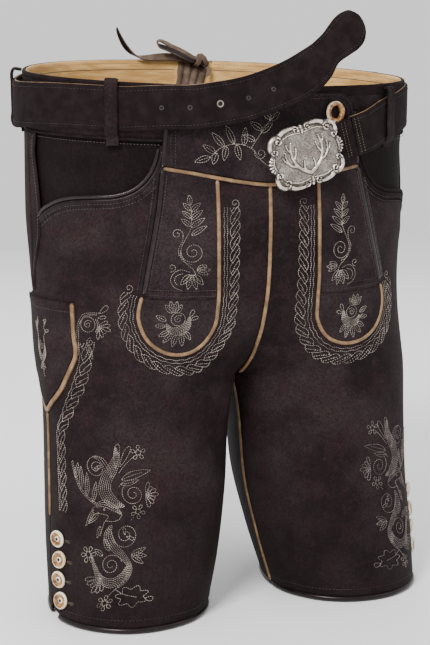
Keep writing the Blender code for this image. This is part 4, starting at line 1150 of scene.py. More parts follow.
# belt
belt = {
    "width": 36.0, "wall": 3.0, "lift": 2.2, "drop": 22.0,
    # it stands off and hangs lower on the wearer's right: girth, spread, drop, height
    "slack": (232.0, 50.0, 4.5, 5.5),
    # free end, upper and lower edge
    "freeEnd": [
        (-46.6, -107.5, -9.2, -49.4, -108.5, -44.2), (-24.8, -109.5, -5.0, -24.0, -113.0, -39.8),
        (-4.0, -108.5, 1.6, -1.0, -115.5, -32.6), (13.6, -106.0, 8.7, 19.6, -116.5, -24.6),
        (27.2, -103.0, 15.6, 36.2, -116.5, -16.2), (37.0, -101.5, 21.2, 47.9, -116.0, -4.8),
        (44.2, -100.0, 26.5, 55.2, -115.0, 6.5), (49.2, -99.0, 31.2, 65.7, -113.5, 12.9),
        (53.4, -99.5, 36.8, 73.3, -112.5, 17.4), (57.7, -100.5, 42.3, 79.1, -111.5, 23.8),
        (62.9, -101.5, 46.3, 81.1, -110.0, 31.4), (69.5, -103.0, 48.2, 79.1, -108.0, 40.1),
        (73.5, -105.0, 46.6, 76.6, -106.5, 44.4)],
    # holes: distance from the tip along the strap, radius; the third one is larger, and its pale
    # rim is a painted highlight
    "holes": [(100.5, 1.25), (122.6, 1.25), (145.6, 1.8), (169.3, 1.25), (191.1, 1.25)],
    "paintedHighlightHole": 2,
    # landing on the waistband: girth, drop of the middle, height
    "landing": [(66, 18.6, 9.0), (78, 19.0, 7.4), (92, 20.0, 4.8), (104, 21.0, 2.9)],
    "droop": [(205, 22.0, 2.2), (185, 22.5, 2.2), (165, 24.0, 2.2), (148, 26.5, 2.3),
              (134, 28.6, 2.4), (125.5, 30.4, 2.5), (115, 33.0, 3.3), (103, 36.4, 5.9),
              (91, 39.6, 8.8)],
}
buckle = {
    "width": 71.0, "height": 56.0, "tilt": 16.0, "turn": 4.0, "inset": 1.5,
    "centre": np.array([27.8, -113.4, -66.2]), "stand": 6.8, "rod": 1.6, "back": 1.4,
    # ovals of the flange and of the field: half width, half height and power
    "flange": (31.2, 23.6, 3.0), "field": (28.2, 21.4, 2.7),
    # points round the plate, share of the radius where the rim starts to round off, and
    # rings from the middle to there and over the rim
    "points": 420, "rim": 0.955, "rings": (66, 0.93), "rimRings": [0.955, 0.975, 0.99, 1.0],
}


def buckleAxes():
    tilt, swing = math.radians(buckle["tilt"]), math.radians(buckle["turn"])
    across = np.array([math.cos(tilt) * math.cos(swing), math.cos(tilt) * math.sin(swing),
                       math.sin(tilt)])
    out = np.array([math.sin(swing), -math.cos(swing), 0.0])
    up = np.cross(out, across)
    return across, unit(up), out


across, upward, outward = buckleAxes()
barMiddle = (buckle["centre"] + across * (buckle["width"] / 2 - buckle["inset"])
             - outward * buckle["stand"])
# folded end of the strap: wall, reach from the bar, half width, slack round the bar, and
# the stitch rows' reach from the bar and whether they lie over both layers
fold = {"wall": 2.0, "reach": 16.0, "half": 15.8, "slack": 0.25,
        "rows": ((4.6, 0), (8.2, 0), (19.4, 1), (23.4, 1))}


def foldAxes():
    s, d, h = belt["droop"][-1]
    away = place(1, s, d, h, False)[0] - barMiddle
    away = unit(away - upward * (away @ upward))
    face = np.cross(away, upward)
    return away, face if face @ outward > 0 else -face


# share of the slack at a girth on the wearer's right, a bell exp(-((s - middle)/spread)^2)
def slack(s):
    return math.exp(-((s - belt["slack"][0]) / belt["slack"][1]) ** 2)


def beltStations():
    upper = [np.array(r[:3]) for r in belt["freeEnd"][::-1]]
    lower = [np.array(r[3:]) for r in belt["freeEnd"][::-1]]
    whole = float(backAt(20.0))

    # the belt stands off a little more over the lace at the back
    def lift(s):
        return belt["lift"] + 1.2 * np.clip((s - whole + 75) / 25, 0, 1)

    low, out = belt["slack"][2:]
    route = [(-1, s, d, h) for s, d, h in belt["landing"]]
    route += [(-1, s, belt["drop"] + slack(s) * low, lift(s) + slack(s) * out)
              for s in np.concatenate([[115.0, 125.5], np.linspace(138, whole, 28)])]
    route += [(1, s, belt["drop"], lift(s)) for s in np.linspace(whole, 215, 20)[1:]]
    route += [(1, s, d, h) for s, d, h in belt["droop"]]
    droops = [r[0] for r in belt["droop"]]
    for side, s, d, h in route:
        lean = 0.0
        if side > 0 and s in droops:
            i = droops.index(s)
            a, b = belt["droop"][max(i - 1, 0)], belt["droop"][min(i + 1, len(droops) - 1)]
            lean = math.atan2(b[1] - a[1], a[0] - b[0])
        ds, dd = 0.5 * belt["width"] * math.sin(lean), 0.5 * belt["width"] * math.cos(lean)
        upper.append(place(side, s - ds, d - dd, h, False)[0])
        lower.append(place(side, s + ds, d + dd, h, False)[0])
    away, face = foldAxes()
    middle = barMiddle + away * fold["reach"] + face * (buckle["rod"] + 0.4 + fold["wall"] / 2)
    upper.append(middle + upward * (fold["half"] + 0.6))
    lower.append(middle - upward * (fold["half"] + 0.6))
    return np.array(upper), np.array(lower)


# cross profiles of the suede face, the tan inner layer, a hole's rim and a hole: share of the
# half width or of the radius, and distance outwards from the middle of the wall
beltSection = {
    "face": [(1.0, 0.1), (0.985, 1.15), (0.95, 1.5), (0.5, 1.55), (0, 1.6), (-0.5, 1.55),
             (-0.95, 1.5), (-0.985, 1.15), (-1.0, 0.1), (-0.99, -0.35), (0, -0.4),
             (0.99, -0.35)],
    "inner": [(1.012, -0.45), (1.018, -0.9), (1.0, -1.4), (0.95, -1.5), (0, -1.5),
              (-0.95, -1.5), (-0.975, -1.35), (-0.98, -0.9), (-0.98, -0.45), (0, -0.42)],
    "rim": [(1.55, 0.0), (1.45, 0.3), (1.25, 0.36), (1.02, 0.2), (0.95, 0.05)],
    "hole": [(1.0, -0.2), (0.98, 0.12), (0.5, 0.13), (0.02, 0.13)],
    # height of the holes' foot and of the stitches, share of the half width of each row
    "foot": 1.55, "sewn": 1.62, "rows": (0.80, -0.80),
}


def makeStrap():
    upper, lower = beltStations()
    both = smoothPath(np.concatenate([upper, lower], 1), 3.2)
    upper, lower = both[:, :3], both[:, 3:]
    middle, half = (upper + lower) / 2, (upper - lower) / 2
    normal = unit(np.cross(np.gradient(middle, axis=0), upper - lower))
    for name, part, look, slot, node in (
            ("beltStrap", "face", suede, "belt_leather", "belt_strap"),
            ("beltInner", "inner", tan, "tan_piping", None)):
        profile = np.array(beltSection[part])
        rings = (middle[:, None] + half[:, None] * profile[:, :1]
                 - normal[:, None] * profile[:, 1:])
        ringPiece(name, rings, look, slot=slot, node=node)
    rows = [middle + half * share - normal * beltSection["sewn"]
            for share in beltSection["rows"]]
    stitchLines("beltRows", rows, [-normal, -normal], beltThread, "belt", "belt_leather")
    makeHoles(middle, half, normal)


# buckle holes: a pressed rim round a flat black disc that is painted shade of the hole; one rim is
# pale, a painted highlight
def makeHoles(middle, half, normal):
    run = runAlong(middle)
    for k, (at, size) in enumerate(belt["holes"]):
        spot, up, out = [np.array([np.interp(at, run, v) for v in line.T])
                         for line in (middle, half, -normal)]
        foot = spot + out * beltSection["foot"]
        # one rim takes the pale thread colour as a painted highlight
        rimLook = threadLook if k == belt["paintedHighlightHole"] else beltThread
        # each hole itself is a flat black disc, painted shade of the hole's depth
        for name, part, look in (("beltHoleRim", "rim", rimLook), ("beltHole", "hole", black)):
            ringPiece("%s_%d" % (name, k + 1),
                      ringStack(foot, out, unit(up), size, beltSection[part]), look,
                      slot="belt_leather")


# the strap's end, folded round the buckle's bar and sewn down
def makeFold():
    away, face = foldAxes()
    ring = buckle["rod"] + fold["slack"] + fold["wall"] / 2
    behind = ring - fold["wall"] - 1.4 - 0.35
    spots = [(fold["reach"] - 0.3, ring), (7, ring)]
    spots += [(ring * math.cos(a), ring * math.sin(a))
              for a in np.radians(np.linspace(90, 270, 13))]
    spots += [(5, -0.95 * ring), (12, behind - 1.0), (17, behind - 0.5), (24, behind - 0.5)]
    path = np.array([barMiddle + away * x + face * y for x, y in spots])
    sweep("beltFold", path, unit(np.cross(np.gradient(path, axis=0), upward)),
          section("flat", 2 * fold["half"], fold["wall"], 14), suede, taper=False,
          slot="belt_leather", node="belt_fold")
    # two pairs of stitch rows, one on each side of the folded end's edge
    span = np.linspace(-0.93, 0.93, 30)[:, None]
    lift = ring + fold["wall"] / 2 + 0.12
    rows = [barMiddle + away * reach + face * (lift + 0.25 * over)
            + upward * fold["half"] * span for reach, over in fold["rows"]]
    stitchLines("beltFoldRows", rows, [np.tile(face, (30, 1))] * 4, foldThread, "fold",
                "belt_leather")


makeStrap()
makeFold()


# belt loops: height above the belt, girths, the rear ones' from the back seam, width, wall,
# height of the stitches and their rows' distance from the middle
loop = {"over": 1.2, "front": 125.5, "side": 252.0, "back": 64.0, "width": 10.5, "wall": 2.2,
        "sewn": 1.2, "rows": (-3.7, 3.7)}
def makeLoop(name, node, side, s, drop, rise, start, tail=6.0):
    over = belt["lift"] + belt["wall"] / 2 + loop["over"] + rise
    profile = [(1.8, start), (over - 0.8, start - 0.2), (over, start + 1.8), (over + 0.1, 12),
               (over + 0.1, 22), (over, 34), (over, 39.5 + drop), (over - 1.2, 41.6 + drop),
               (1.8, 43.4 + drop), (1.2, 46.0 + tail)]
    p = smoothPath(profile, 1.6)
    line = place(side, s, p[:, 1], p[:, 0], False)[0]
    t = np.gradient(line, axis=0)
    sideways = place(side, s + 1.0, p[:, 1], p[:, 0], False)[0] - line
    up = unit(np.cross(sideways, t) * side)
    sweep(name, line, up, section("flat", loop["width"], loop["wall"], 12), nubuck, taper=False,
          node=node)
    way = np.cross(unit(t), up)
    rows = [(line + up * loop["sewn"] + way * k)[3:-1] for k in loop["rows"]]
    stitchLines(name + "_rows", rows, [up[3:-1], up[3:-1]], seamThread, "loop", "nubuck")


def makeLoops():
    whole = float(backAt(20.0))
    for side, tag in sides:
        # at each loop: how much lower and further out the belt lies, where the loop starts
        # and how far it runs on below
        front = (7.5, 1.0, 4.0, 9.5) if side > 0 else (1.0, 0.0, -1.0, 6.0)
        loose = 0.0 if side > 0 else slack(loop["side"])
        flank = (loose * belt["slack"][2] + 1.0, loose * belt["slack"][3], 1.5)
        for part, s, lies in (("Front", loop["front"], front), ("Side", loop["side"], flank),
                              ("Back", whole - loop["back"], (0.0, 0.6, 3.6))):
            makeLoop("loop%s_%s" % (part, tag), "belt_loop_%s_%s" % (part.lower(), tag), side,
                     s, *lies)


makeLoops()
print("belt made")


# horn buttons
button = {
    # share of the radius, height: a dished disc with a thread mound in its middle hole
    "disc": [(0.3, 0.0), (0.86, 0.2), (0.97, 0.8), (1.0, 1.6), (0.96, 2.4), (0.88, 2.95),
             (0.78, 3.05), (0.66, 2.7), (0.52, 2.1), (0.38, 1.75), (0.31, 1.9), (0.25, 2.3),
             (0.17, 2.4), (0.11, 2.0), (0.02, 1.5)],
    # a ring round its stud
    "ring": [(0.53, 1.2), (0.57, 0.4), (0.66, 0.0), (0.86, 0.0), (0.97, 0.8), (1.0, 1.8),
             (0.96, 2.8), (0.87, 3.5), (0.76, 3.7), (0.64, 3.3), (0.56, 2.4)],
    # corners round it, and the share of the radius that amber reaches further on a ring
    "corners": 36, "ringShare": 0.88,
    "hemSize": 14.4, "hemLift": 1.0, "flapSize": 18.4, "flapLift": 2.6,
    # for each side: drops, offsets from the row, lean to the front, place on the flap
    "drops": {-1: (380, 396.5, 413, 430), 1: (372, 389, 405.5, 422)},
    "offsets": {-1: (1.5, -1.2, 0.4, -1.4), 1: (0.5, -0.6, 0.3, -0.8)},
    "lean": {-1: 18, 1: 24}, "turns": (6, -4, 5, -5),
    "onFlap": {-1: (61.5, 19.5), 1: (58.8, 22.4)},
    # the row lies before the side seam; buttonholes: three rows of stitches beside each other
    "before": 23.0, "holeFrom": 8.4, "holeTo": 15.0, "holeRows": (-1.1, 0.0, 1.1),
}


# a number at each point of a piece, read by its material
def giveAttribute(piece, name, values):
    layer = piece.data.attributes.new(name, "FLOAT", "POINT")
    layer.data.foreach_set("value", np.asarray(values, np.float32))


# a button leans towards the front by a few degrees on its thread
def makeButton(name, node, side, spot, size, lift, shape, lean=0.0, tip=0.0):
    base, out = place(side, *spot, lift)
    v = np.cross(out, unit(np.cross(out, [0, 0, 1.0])))
    out = unit(out + np.array([0, -1.0, 0]) * math.sin(math.radians(lean))
               + v * math.sin(math.radians(tip)))
    rings = ringStack(base, out, v, size / 2, button[shape], button["corners"])
    piece = ringPiece(name, rings, hornLook, closed=shape == "ring", node=node)
    share = np.repeat([q for q, _ in button[shape]], button["corners"])
    giveAttribute(piece, "ring", share * (button["ringShare"] if shape == "ring" else 1.0))


def makeButtons():
    for side, tag in sides:
        bars = []
        for k, d in enumerate(button["drops"][side]):
            s = float(sideAt(d)) - button["before"] + button["offsets"][side][k]
            makeButton("hemButton_%s_%d" % (tag, k + 1), "hem_button_%s_%d" % (tag, k + 1),
                       side, (s, d), button["hemSize"], button["hemLift"], "disc",
                       button["lean"][side], button["turns"][k])
            bars += [[(s - button["holeFrom"], d + off * 0.5),
                      (s - button["holeTo"] + abs(off), d + off)] for off in button["holeRows"]]
        stitched("buttonholes_" + tag, side, bars, foldThread, 0.15, "buttonhole")
        makeButton("flapButton_" + tag, "flap_button_" + tag, side, button["onFlap"][side],
                   button["flapSize"], button["flapLift"], "ring")


makeButtons()
print("buttons made")


# embroidery: chain stitches along lines drawn on the cut, x towards the centre front and y
# up, in millimetres
def arc(x, y, r, a0, a1, squash=1.0):
    a = np.radians(np.linspace(a0, a1, max(6, int(abs(a1 - a0) * r / 60) + 4)))
    return np.stack([x + r * np.cos(a), y + r * squash * np.sin(a)], 1)


def spiral(x, y, outer, inner, start, turns):
    t = np.linspace(0, 1, int(26 * abs(turns)) + 4)
    a = np.radians(start) + t * turns * 2 * math.pi
    r = outer + (inner - outer) * t ** 0.85
    return np.stack([x + r * np.cos(a), y + r * np.sin(a)], 1)


def curve(*points):
    return smoothPath(points, 0.8)


def turned(p, angle):
    co, si = math.cos(math.radians(angle)), math.sin(math.radians(angle))
    return np.stack([p[:, 0] * co - p[:, 1] * si, p[:, 0] * si + p[:, 1] * co], 1)


# pointed leaf bent to one side, half width sin(pi t^0.8)^0.9: an outline and a vein
def leaf(x, y, angle, length, width, bend=0.0):
    t = np.linspace(0, 1, 16)
    w = width / 2 * np.sin(math.pi * t ** 0.8) ** 0.9
    edge = pair(np.concatenate([t, t[::-1]]) * length, np.concatenate([w, -w[::-1]]))
    vein = pair(t[:12] * length, 0)
    return [turned(p + pair(0, bend * (p[:, 0] / length) ** 2), angle) + (x, y)
            for p in (edge, vein)]


# loop with a round tip, as petals and buds have
def petal(x, y, angle, length, width):
    u = np.linspace(0, 2 * math.pi, 22)
    p = pair(length * (1 - np.cos(u)) / 2, width / 2 * np.sin(u) * np.sin(u / 2))
    return turned(p, angle) + (x, y)


# petals side by side from one angle to another, uneven in length
def fan(x, y, a0, a1, count, length, width):
    return [petal(x, y, angle, length * (1 + 0.14 * math.sin(2.1 * k + 1)), width)
            for k, angle in enumerate(np.linspace(a0, a1, count))]


# lines side by side along a spine, closing in at both ends
def plume(points, widths, gap=1.85):
    spine = smoothPath(points, 0.8)
    t = np.linspace(0, 1, len(spine))
    half = np.interp(t, np.linspace(0, 1, len(widths)), widths) / 2
    count = max(2, int(round(2 * half.max() / gap)) + 1)
    out = []
    for k in np.linspace(-1, 1, count):
        line = spine + squareTo(spine) * (half * k)[:, None]
        keep = half > gap * (0.35 if abs(k) > 0.9 else 0.7 if abs(k) > 0.4 else 0.0)
        if keep.sum() > 3:
            out.append(line[keep])
    return out


def bloom(x, y, r, petals, start=0.0):
    out = [arc(x, y, r * 0.36, 0, 360)]
    for k in range(petals):
        a = math.radians(start + 360 * k / petals)
        out.append(petal(x + r * 0.36 * math.cos(a), y + r * 0.36 * math.sin(a),
                         math.degrees(a), r * 0.72, r * 0.62))
    return out


# closed lobed outline round a centre, as an oak leaf has
def lobes(x, y, rx, ry, count, depth=0.24):
    a = np.linspace(0, 2 * math.pi, 16 * count)
    r = 1 - depth * (0.5 + 0.5 * np.cos(count * a))
    return np.stack([x + rx * r * np.cos(a), y + ry * r * np.sin(a)], 1)


# drawing in its own x, y moved onto the cut at (girth, drop) and sized
def drawn(paths, girth, drop, size=1.0):
    return [np.array([girth, drop]) - np.asarray(p, float) * size for p in paths]


# twisted cord along a line on the cut: crossing drop-shaped loops, pitch apart
def cable(path, width, pitch):
    line = smoothPath(path, 0.5)
    run, normal = runAlong(line), squareTo(line)
    count = max(1, int(round(run[-1] / pitch)))
    step = run[-1] / count
    t = np.linspace(0, 1, 12)
    bulge = 0.2 + 0.3 * np.sin(math.pi * t) ** 0.7
    # the two scalloped edges, half a pitch apart, and the slanting lines between them
    strands = [(0.0, t, bulge), (0.5, t, -bulge),
               (0.0, t * 0.52, 0.2 - 0.4 * t), (0.30, t * 0.72, 0.44 - 0.62 * t ** 0.9),
               (-0.12, t * 0.5, 0.02 - 0.42 * t ** 1.2)]
    out = []
    for k in range(-1, count):
        for lead, along, off in strands:
            at = (k + lead + along) * step
            ok = (at >= 0) & (at <= run[-1])
            if ok.sum() < 4:
                continue
            p = np.stack([np.interp(at, run, line[:, i]) for i in (0, 1)], 1)
            n = np.stack([np.interp(at, run, normal[:, i]) for i in (0, 1)], 1)
            out.append((p + n * (off * width)[:, None])[ok])
    return out


# line swinging about a path by height sin(2 pi run / pitch)
def wavy(path, height, pitch):
    line = smoothPath(path, 0.6)
    swing = height * np.sin(runAlong(line) / pitch * 2 * math.pi)
    return line + squareTo(line) * swing[:, None]


# motifs
def flapMotif():
    paths = []
    stalk = curve((6, -30), (3, -21), (-4, -14), (-7.5, -4), (-4, 5), (0, 13), (1, 24), (0, 36))
    paths.append(stalk)
    for k, y in enumerate((31, 24.5, 18, 11.5)):
        x = 0.8 - 0.02 * (k - 1) ** 2
        paths += leaf(x, y - 3, 52 - 5 * k, 10.5 + 1.4 * k, 4.2, -1.2)
        if k < 3:
            paths += leaf(x - 0.4, y - 2, 128 + 4 * k, 8.5 + 0.6 * k, 3.8, 1.0)
    paths += leaf(0, 33.5, 94, 8.5, 4.0)
    paths += [spiral(-10.5, 9.5, 5.0, 1.0, -30, 1.4),
              curve((-5.6, 9.0), (-6.4, 3.0), (-9.4, -3), (-8.8, -9))]
    paths += [spiral(2.2, -5.5, 9.6, 1.2, 200, 1.9)]
    paths += [curve((-7.5, -4), (-7.8, -9), (-4.5, -14), (1.5, -16))]
    for angle, length in ((-24, 10), (0, 11), (26, 9)):
        paths += leaf(5.4, -20.5, angle, length, 4.4)
    for angle, length in ((-50, 11.5), (-76, 13), (-103, 13), (-131, 11.5)):
        paths += leaf(1.6 + 0.04 * (angle + 90), -24.5, angle, length, 5.0)
    paths += [curve((0, -22.5), (-8, -20.5), (-13.6, -24), (-15.4, -29.6), (-12.6, -35), (-6, -38)),
              curve((-5, -23.6), (-10.6, -25.4), (-12.4, -29.4), (-10, -33.4)),
              spiral(-14.5, -18.5, 3.8, 0.8, 250, 1.2)]
    return paths


def patchMotif():
    paths = plume([(10, 5), (8, -4), (0.5, -9), (-7, -8), (-11.5, -1.5)],
                  [1.5, 6.4, 8.6, 6.4, 1.2], gap=1.4)
    paths += [arc(-0.5, 3, 6.6, 0, 360), spiral(-0.5, 3, 4.4, 0.8, 40, 1.5)]
    for angle, length in ((58, 10), (82, 12), (106, 12.5), (130, 11)):
        paths += leaf(-4 + 3 * math.cos(math.radians(angle)), 9.2, angle, length, 4.8)
    paths += leaf(-11.4, 1.5, 152, 11, 4.8) + leaf(-12, -3.5, 180, 10, 4.4)
    for x, y, angle, length in ((-8.5, -9, -154, 11), (-6, -11, -132, 12.5), (-2, -12.5, -108, 13),
                                (2.6, -12, -84, 12.5), (6.4, -9.5, -58, 10)):
        paths += leaf(x, y, angle, length, 4.8)
    paths += [petal(10.2, 4.6, 64, 8.5, 4.6), petal(10.8, 2, 22, 8, 4.4)]
    return paths


def bandSpray():
    paths = [curve((26, -20), (17, -13), (9, -3), (-3, 0.5), (-14, -2), (-25, -11)),
             curve((9, -3), (14, 5), (20, 14), (26, 22), (33, 31))]
    paths += [spiral(17, -7.5, 5.6, 1.0, 150, 1.5)]
    for x, y, angle, length in ((-24, -10.5, 196, 12), (-20, -7.5, 142, 11), (-13, -2, 128, 14),
                                (-5, 0.5, 112, 15), (-19, -7, -112, 9), (-11, -1.5, -104, 11),
                                (-3, 0.2, -80, 12), (3, -1, 84, 14), (12, 3, 150, 10),
                                (18, 12, 142, 11), (17, 10, 38, 11), (24, 20, 36, 10),
                                (25, 21, 128, 10)):
        paths += leaf(x, y, angle, length * 1.12, 5.0, 0.6)
    return paths


def legMotif():
    paths = []
    # crest of plumes with a scroll on each side
    paths += plume([(7.5, 15.5), (-2, 19), (-8.5, 27), (-6.5, 37), (-0.5, 46), (3.5, 55), (3, 63)],
                   [1.0, 8.5, 10.5, 9, 8, 6, 1.0], gap=1.9)
    paths += [petal(2, 46, 82, 20, 6.0), petal(5.5, 47, 62, 19, 5.6)]
    paths += plume([(-2, 38), (-5, 46), (-10, 53), (-17, 55)], [1.2, 4.4, 3.8, 0.8])
    paths += [spiral(-14.5, 46, 9.6, 1.4, 50, 2.0), petal(-16, 45, 20, 6, 3.2)]
    paths += leaf(6, 37, 24, 25, 6.0, -3.4) + leaf(5, 33.5, 4, 15, 4.0, 2.2)
    paths += [curve((4, 42), (10, 49), (15, 53.5), (18, 56))] + bloom(21, 58.5, 5.6, 5, 20)
    paths += [spiral(14.5, 25.5, 10.0, 1.4, 120, 1.9), curve((3, 31), (6.5, 34.5), (9.5, 34.2))]
    paths += fan(24.5, 24.5, -74, 74, 7, 9.5, 3.8)
    # stag: head, neck and antler
    paths += plume([(-17, 14.5), (-10, 17.5), (-2, 14.5), (5, 9.5)], [2.0, 5.6, 4.6, 1.2])
    paths += [curve((5.5, 9.5), (3, 5.4), (-3.6, 3.2), (-8.4, 3.4), (-10.5, -1.5), (-12.5, -9)),
              curve((-17, 14.5), (-20.5, 12), (-19.5, 9.4), (-13, 9), (-6, 7.4), (-8.4, 3.4)),
              arc(-9.5, 12.6, 0.9, 0, 360)]
    paths += leaf(-12.6, -1, -104, 10, 3.2) + leaf(-14, 10, -128, 14, 3.6, -1.6)
    paths += leaf(-19, 12, -110, 16, 3.4, -2.0)
    beam = curve((-17.5, 16), (-24, 20), (-31.5, 27.5), (-35, 38), (-37, 49))
    paths += [beam, beam + np.array([1.3, 0.9])]
    for x, y, angle, length, bend in ((-34.6, 36, 64, 13, 2.0), (-30.5, 27, 76, 19, 2.4),
                                      (-25.5, 21.6, 78, 20, 2.0), (-20, 18, 70, 17, 1.6)):
        paths += leaf(x, y, angle, length, 3.8, bend)
    # stem of scrolls below
    paths += plume([(-3, 1), (-5.8, -7), (-1, -16), (8, -24), (14.5, -34), (11.5, -43), (5, -50)],
                   [1.0, 7.5, 5.8, 4.6, 3.0, 2.6, 1.0], gap=1.85)
    paths += [spiral(8.5, -6.8, 11.4, 1.4, 170, 2.0), petal(9, -8, -20, 7, 3.2),
              petal(8, -7, 100, 6, 3)]
    paths += [curve((12, 4.4), (15, 7.5))] + bloom(18, 11.5, 5.4, 5, 60)
    for angle in (-34, -4, 26):
        paths += leaf(14, -22.5, angle, 12.5, 4.0)
    paths += [spiral(-1.5, -31, 9.2, 1.4, 20, 1.9)]
    paths += plume([(11.5, -31), (9, -40), (0.5, -45.5), (-9.5, -42), (-15.5, -33), (-19, -25)],
                   [1.0, 6.5, 7.4, 5.2, 3.2, 1.0], gap=1.6)
    paths += bloom(-22, -24.5, 6.4, 6, 10)
    paths += fan(-9, -42, -168, -72, 6, 12.5, 4.4)
    paths += leaf(-4, -20, 118, 11, 4.0) + leaf(-9, -24, 150, 9, 4.0)
    paths += [curve((5, -50), (2, -54), (0.5, -57))] + bloom(-0.5, -62, 6.0, 6, 30)
    paths += [lobes(20, -55.5, 13.5, 9.0, 7, 0.34), curve((5, -50), (12, -53.5), (24, -56)),
              petal(31, -57.5, -8, 7, 5)]
    return paths


def pocketMotif():
    paths = plume([(-8, 6), (-9.5, -6), (-3, -17), (4.5, -11), (6.5, 2)],
                  [1.0, 4.4, 7.5, 4.4, 1.0], gap=1.55)
    paths += [curve((-8, 6), (-9, 16), (-8, 25)), spiral(-1, -2, 5.4, 1.0, 100, 1.6),
              curve((6.5, 2), (7, 9), (11, 15), (8, 19), (12, 23), (8.5, 28))]
    paths += leaf(-9, 12, 112, 13, 3.6) + leaf(-8.5, 18, 76, 12, 3.4)
    paths += fan(-3, -20, -130, -50, 3, 10, 3.6) + [curve((-3, -20), (-4, -30), (-3, -37))]
    paths += [petal(10, 14, 20, 8, 4), petal(10, 22, 60, 8, 4)]
    return paths


def scrollMotif():
    # spray at the top of the braid beside the knife pocket
    paths = [arc(0, 0, 6.4, 0, 360), spiral(0, 0, 3.9, 0.8, 30, 1.5),
             curve((-9.8, -30), (-9.8, -10), (-8.6, 2), (-4, 8.4), (3, 9.8), (10, 10)),
             curve((-8.0, -26), (-8.0, -10), (-7.4, 0.6), (-3.4, 6.8), (3, 8.2), (8, 8.4))]
    paths += [petal(10, 9.6, 44, 9.5, 5.2), petal(8.6, 5.6, 12, 7, 3.4)]
    paths += [curve((6.6, 5), (8.6, 0), (7.0, -6.4)), curve((8.0, 4.4), (10.2, 0), (8.8, -7))]
    paths += fan(9.6, -1.0, -92, 30, 6, 9.8, 3.4)
    paths += [spiral(2.6, -14.6, 3.6, 0.7, 80, 1.5), curve((6.2, -14), (5.6, -20), (1, -27))]
    paths += leaf(0.5, -17, -78, 12, 3.8, 1.2)
    return paths


# where each motif's middle lies on the cut, girth and drop, and the size of two of them
motif = {
    "flap": {-1: (66.0, 132.0), 1: (69.0, 134.0)}, "leg": {-1: (153.0, 362.0), 1: (152.0, 360.0)},
    "patch": {-1: (74.0, 197.0, 0.86), 1: (81.5, 199.5, 0.86)},
    "band": (25.0, 48.5), "pocket": (-14.5, 221.0, 0.72), "scroll": (148.0, 200.5),
    # braid beside the knife pocket, and the distances of the braid's rows from the U line
    "pocketBraid": [(-62, 216), (-61.4, 226), (-57, 238), (-49, 251), (-41, 263), (-33, 277),
                    (-26, 290), (-26, 310), (-27, 335), (-28, 357)],
    "wavyRows": (4.8, 7.4), "cableRow": 14.0,
    # height over the cloth
    "lift": 0.15, "over": 0.1,
}


def makeEmbroidery():
    u = smoothPath(lines["uLine"][1:], 2.0)
    row = beside(u, motif["cableRow"])
    braid = [wavy(beside(u, distance), 0.35, 9.0) for distance in motif["wavyRows"]]
    (x0, y0), (x1, y1) = row[0], beside(u, motif["cableRow"] - 1.0)[-1]
    braid += cable(row, 8.6, 10.6) + [spiral(x0, y0 - 3.0, 4.4, 0.8, 90, 1.3),
                                      spiral(x1 - 1.0, y1 - 4.0, 4.4, 0.8, 60, 1.3)]
    onStrip, onPatch = flap["stripLift"] + motif["over"], flap["patchLift"] + motif["over"]
    for side, tag in sides:
        stitched("braid_" + tag, side, braid, threadLook, motif["lift"], bend=swayed)
        stitched("flapMotif_" + tag, side, drawn(flapMotif(), *motif["flap"][side]), threadLook,
                 onStrip)
        stitched("patchMotif_" + tag, side, drawn(patchMotif(), *motif["patch"][side]),
                 threadLook, onPatch)
        # the wearer's left leg gets the darker thread as painted shade
        stitched("legMotif_" + tag, side, drawn(legMotif(), *motif["leg"][side]),
                 threadLook if side < 0 else paintedShadeThread, motif["lift"])
    stitched("bandSpray", -1, drawn(bandSpray(), *motif["band"]), threadLook,
             flap["bandLift"] + motif["over"])
    stitched("pocketMotif", -1, drawn(pocketMotif(), *motif["pocket"]), threadLook, 2.8,
             origin=sideAt)
    route = motif["pocketBraid"]
    paths = cable(route, 9.0, 11.5) + [wavy(beside(route, -6.0), 0.3, 8.0)]
    stitched("pocketBraid", -1, paths, threadLook, motif["lift"], origin=sideAt)
    stitched("pocketScroll", -1, drawn(scrollMotif(), *motif["scroll"]), threadLook,
             motif["lift"])


makeEmbroidery()
print("embroidery made")


# rows of plain stitches beside the seams
def makeRows():
    for side, tag in sides:
        mouth = smoothPath(lines["mouth"][1:] + [(205, 115.5)], 2)
        stitched("pocketRows_" + tag, side, [beside(mouth, 7.0), beside(mouth, 10.4)],
                 seamThread, 0.62, "seam")
        stitched("waistRows_" + tag, side,
                 [[(88, 50.0), (float(sideAt(50)) - 24, 50.0)],
                  [(float(sideAt(50)) + 8, 50.0), (float(backAt(50)) - 30, 50.0)]],
                 seamThread, 0.2, "seam")
        drops = np.linspace(74, 170, 24)
        edge = pair(girthOf(lines["flapEdge"], drops), drops)
        stitched("flapRows_" + tag, side, [edge - (3.4, 0), edge + (6.4, 0)], seamThread, 0.9,
                 "fine", bend=swayed)
        stitched("weltRows_" + tag, side, [[(46.5, 169.8), (76, 170.2), (105.6, 169.2)],
                                           [(46.5, 174.6), (76, 175.0), (105.6, 173.8)]],
                 seamThread, flap["patchLift"] + 1.5, "welt", bend=swayed)
        rows = np.array([(82.4, 66), (82.5, 45), (81.2, 22), (78.4, 14.5), (74.2, 10.6),
                         (68.5, 8.2), (60, 7.4), (20, 7.4)])
        stitched("bandRows_" + tag, side, [rows - (2.6, 0), rows - (6.0, -3.0)], seamThread,
                 flap["bandLift"] + 0.1, "band")
        drops = np.linspace(50, 176, 40)
        stitched("sideRows_" + tag, side, [pair(-stripReach(drops) + 2.2, drops)], seamThread,
                 sideStrip["lift"] + 0.1, "side", origin=sideAt)
        stitched("hemRows_" + tag, side, [pair(np.linspace(4, 250, 90), 437.5)], beltThread,
                 0.15, "hem")


makeRows()


liningLift = -3.35


